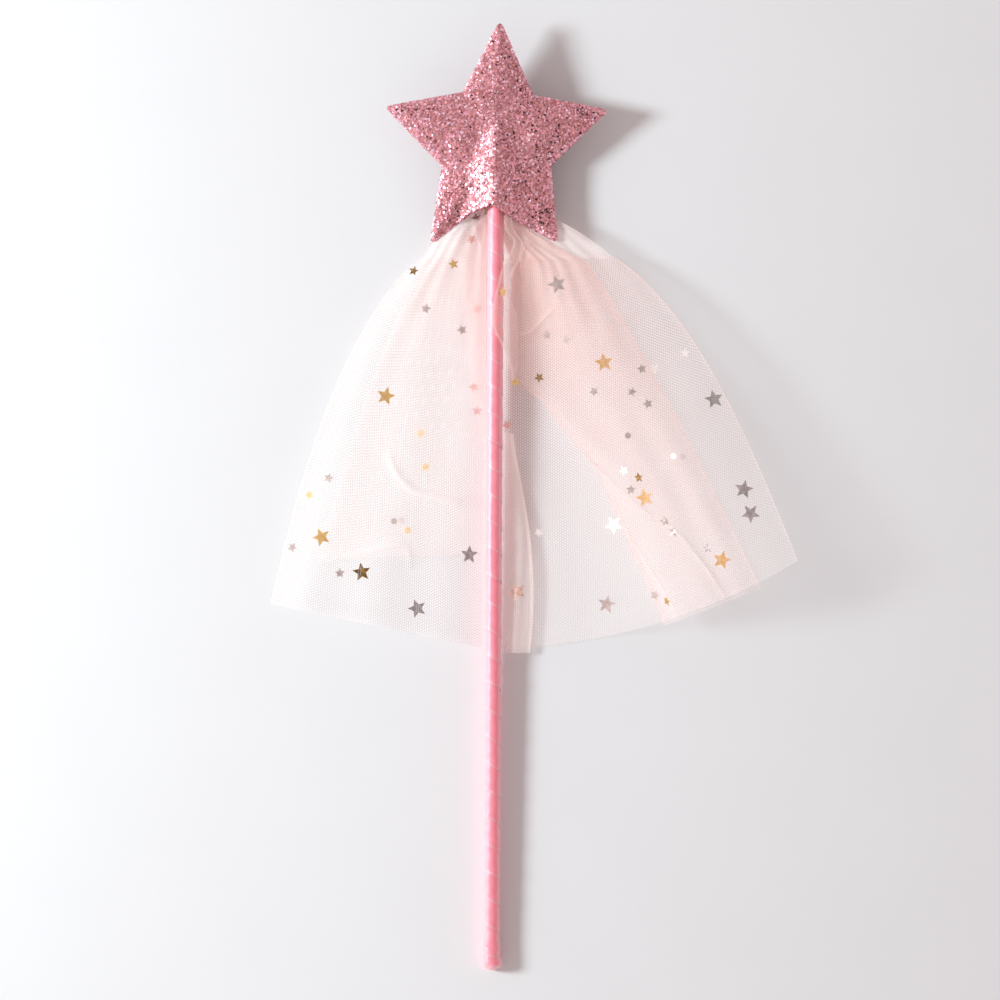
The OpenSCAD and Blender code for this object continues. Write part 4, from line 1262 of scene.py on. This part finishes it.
# The dowel, rounded over at the butt and cut square inside the star
dowel = {
    "profile": (
        (1.75, 0.3), (1.82, 0.9), (2.1, 1.7), (2.6, 2.35), (3.2, 2.75), (4.0, 3.0),
        (357.6, 3.0), (358.0, 2.7),
    ),
    "sides": 48,
}
beech = makeInside("beechDowelTurned", "#dcbb8c", "#b98f5c", 0.8, (1, 0.06, 1), 0.1, 0.6)
a = np.linspace(0, 2 * math.pi, dowel["sides"], endpoint=False)
rings = [np.stack([-r * np.sin(a), np.full(len(a), y), r * np.cos(a)], axis=-1) for y, r in dowel["profile"]]
rod = makePiece("dowelRod", layWand(np.array(rings)), tubeFaces(len(rings), len(a)), [beech])
settle(rod, "wand", "dowel")

# The padding tips up with the star's panels and stays inside them
wadding = makeInside("polyesterWaddingFelted", "#f1f0ec", "#d8d6d0", 0.5, (1, 1, 0.4), 0.3, 0.95)
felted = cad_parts["star_padding"].data
points = np.array([v.co for v in felted.vertices]) / millimetre
points -= [wand["stickX"], wand["buttY"], wand["buttHeight"]]
points[:, 2] -= points[:, 1] * math.tan(wand["tilt"])
points[:, 1] -= wand["starReach"]
roof, floor = (panelHeight(points[:, 0], points[:, 1], side) - 0.2 for side in ("front", "back"))
points[:, 2] = np.clip(points[:, 2], -np.maximum(floor, 0), np.maximum(roof, 0))
faces = [tuple(face.vertices) for face in felted.polygons]
padding = makePiece("starPadding", laidStar(points), faces, [wadding], smooth=False)
settle(padding, "wand", "star_padding")
print("inside pieces finished")

# Table, light and camera; the table and the lamp are in metres
stage = {
    "table": ("#e9e8ea", "#ebeaec"),
    "tableSize": 3.0,
    "tableDrop": 0.0002,
    "lacquerSize": 40.0,
    # Light from the room: ceiling, walls, and how much paler the left and darker the right is
    "ceiling": 0.308,
    "walls": 1.18,
    "sideFall": 0.25,
    "ambientTint": (1.1, 0.96, 0.94, 1.0),
    "background": 0.86,
    # What shiny pieces see from left to right, as shares of the left wall
    "wallLeft": 2.5,
    "wallRight": 1.35,
    "wallShares": ((0.12, 0.75), (0.25, 0.45), (0.4, 0.36), (0.85, 0.36)),
    "keyShare": 0.497,
    "keyTint": (0.9, 1.04, 1.065),
    "keyReach": 1.45,
    "keyElevation": 30.0,
    "keyAzimuth": 174.0,
    "keySize": 0.34,
    "frameWidth": 422.8,
    "cameraReach": 1300.0,
    "cameraOver": (-13.55, -0.44, 6.0),
    "cameraRoll": 0.0055,
    "sensor": 36.0,
}


# A white board with rolled lacquer: dull, with the faintest unevenness
def makeTable():
    material, tree, shader = startMaterial("lacqueredBoardRolled", Roughness=0.7)
    place = addNode(tree, "ShaderNodeTexCoord").outputs["Object"]
    scale = 1 / (stage["lacquerSize"] * millimetre)
    cast = addNode(tree, "ShaderNodeTexNoise", {"Vector": place, "Scale": scale, "Detail": 2.0})
    tint = addNode(tree, "ShaderNodeValToRGB", {0: cast}, list(zip((0.2, 0.8), stage["table"])))
    setInputs(tree, shader, {"Base Color": tint})
    half, low = stage["tableSize"] / 2, -stage["tableDrop"]
    corners = [(-half, -half, low), (half, -half, low), (half, half, low), (-half, half, low)]
    makePiece("table", corners, [(0, 1, 2, 3)], [material], smooth=False)


def lightRoom():
    world = bpy.data.worlds.new("studio")
    bpy.context.scene.world = world
    world.use_nodes = True
    tree = world.node_tree
    paths = addNode(tree, "ShaderNodeLightPath").outputs
    eyes = {0: paths["Is Camera Ray"], 1: paths["Is Transmission Ray"]}
    seen = addNode(tree, "ShaderNodeMath", eyes, operation="MAXIMUM")
    direction = addNode(tree, "ShaderNodeTexCoord").outputs["Generated"]
    toWall = addNode(tree, "ShaderNodeSeparateXYZ", {0: direction}).outputs
    # The room's walls are paler than its ceiling, and paler on the lamp's side than across from it
    low = addNode(tree, "ShaderNodeMapRange", {0: toWall["Z"], 3: 1.0, 4: 0.0})
    wall = addNode(tree, "ShaderNodeMath", {0: low, 1: 2.0}, operation="POWER")
    levels = {0: wall, 1: stage["walls"], 2: stage["ceiling"]}
    room = addNode(tree, "ShaderNodeMath", levels, operation="MULTIPLY_ADD")
    fall = {0: toWall["X"], 1: -stage["sideFall"], 2: 1.0}
    side = addNode(tree, "ShaderNodeMath", fall, operation="MULTIPLY_ADD")
    lit = addNode(tree, "ShaderNodeMath", {0: room, 1: side}, operation="MULTIPLY")
    level = addNode(tree, "ShaderNodeMapRange", {0: seen, 3: lit, 4: stage["background"]})
    # Shiny pieces see a pale wall low on either side, brighter on the left
    across = addNode(tree, "ShaderNodeMapRange", {0: toWall["X"], 1: -1.0, 2: 1.0})
    walls = addNode(tree, "ShaderNodeFloatCurve", {"Value": across})
    line = walls.mapping.curves[0]
    line.points[0].location = (0.0, 1.0)
    line.points[1].location = (1.0, stage["wallRight"] / stage["wallLeft"])
    for place, share in stage["wallShares"]:
        line.points.new(place, share)
    walls.mapping.update()
    shine = addNode(tree, "ShaderNodeMath", {0: walls, 1: stage["wallLeft"]}, operation="MULTIPLY")
    strength = addNode(tree, "ShaderNodeMix", {0: paths["Is Glossy Ray"], 2: level, 3: shine})
    setInputs(tree, tree.nodes["Background"], {"Color": stage["ambientTint"], "Strength": strength})


def setLamp():
    lamp = bpy.data.lights.new("keySoftbox", "AREA")
    lamp.shape, lamp.size, lamp.color = "DISK", stage["keySize"], stage["keyTint"]
    elevation, azimuth = math.radians(stage["keyElevation"]), math.radians(stage["keyAzimuth"])
    level = math.cos(elevation)
    toLamp = Vector((level * math.cos(azimuth), level * math.sin(azimuth), math.sin(elevation)))
    # Power that gives the table its key share of a plain light level
    lamp.energy = stage["keyShare"] * math.pi / math.sin(elevation) * math.pi * stage["keyReach"] ** 2
    key = bpy.data.objects.new("keySoftbox", lamp)
    key.location = toLamp * stage["keyReach"]
    key.rotation_euler = toLamp.to_track_quat("Z", "Y").to_euler()
    bpy.context.scene.collection.objects.link(key)


def setCamera():
    eye = bpy.data.cameras.new("overhead")
    eye.sensor_width = stage["sensor"]
    eye.lens = stage["sensor"] * stage["cameraReach"] / stage["frameWidth"]
    camera = bpy.data.objects.new("overhead", eye)
    over = Vector(stage["cameraOver"]) * millimetre
    camera.location = over + Vector((0, 0, stage["cameraReach"] * millimetre))
    camera.rotation_euler = (0, 0, stage["cameraRoll"])
    bpy.context.scene.collection.objects.link(camera)
    bpy.context.scene.camera = camera


makeTable()
lightRoom()
setLamp()
setCamera()
bpy.context.scene.view_settings.view_transform = "Standard"
print("table, light and camera set")
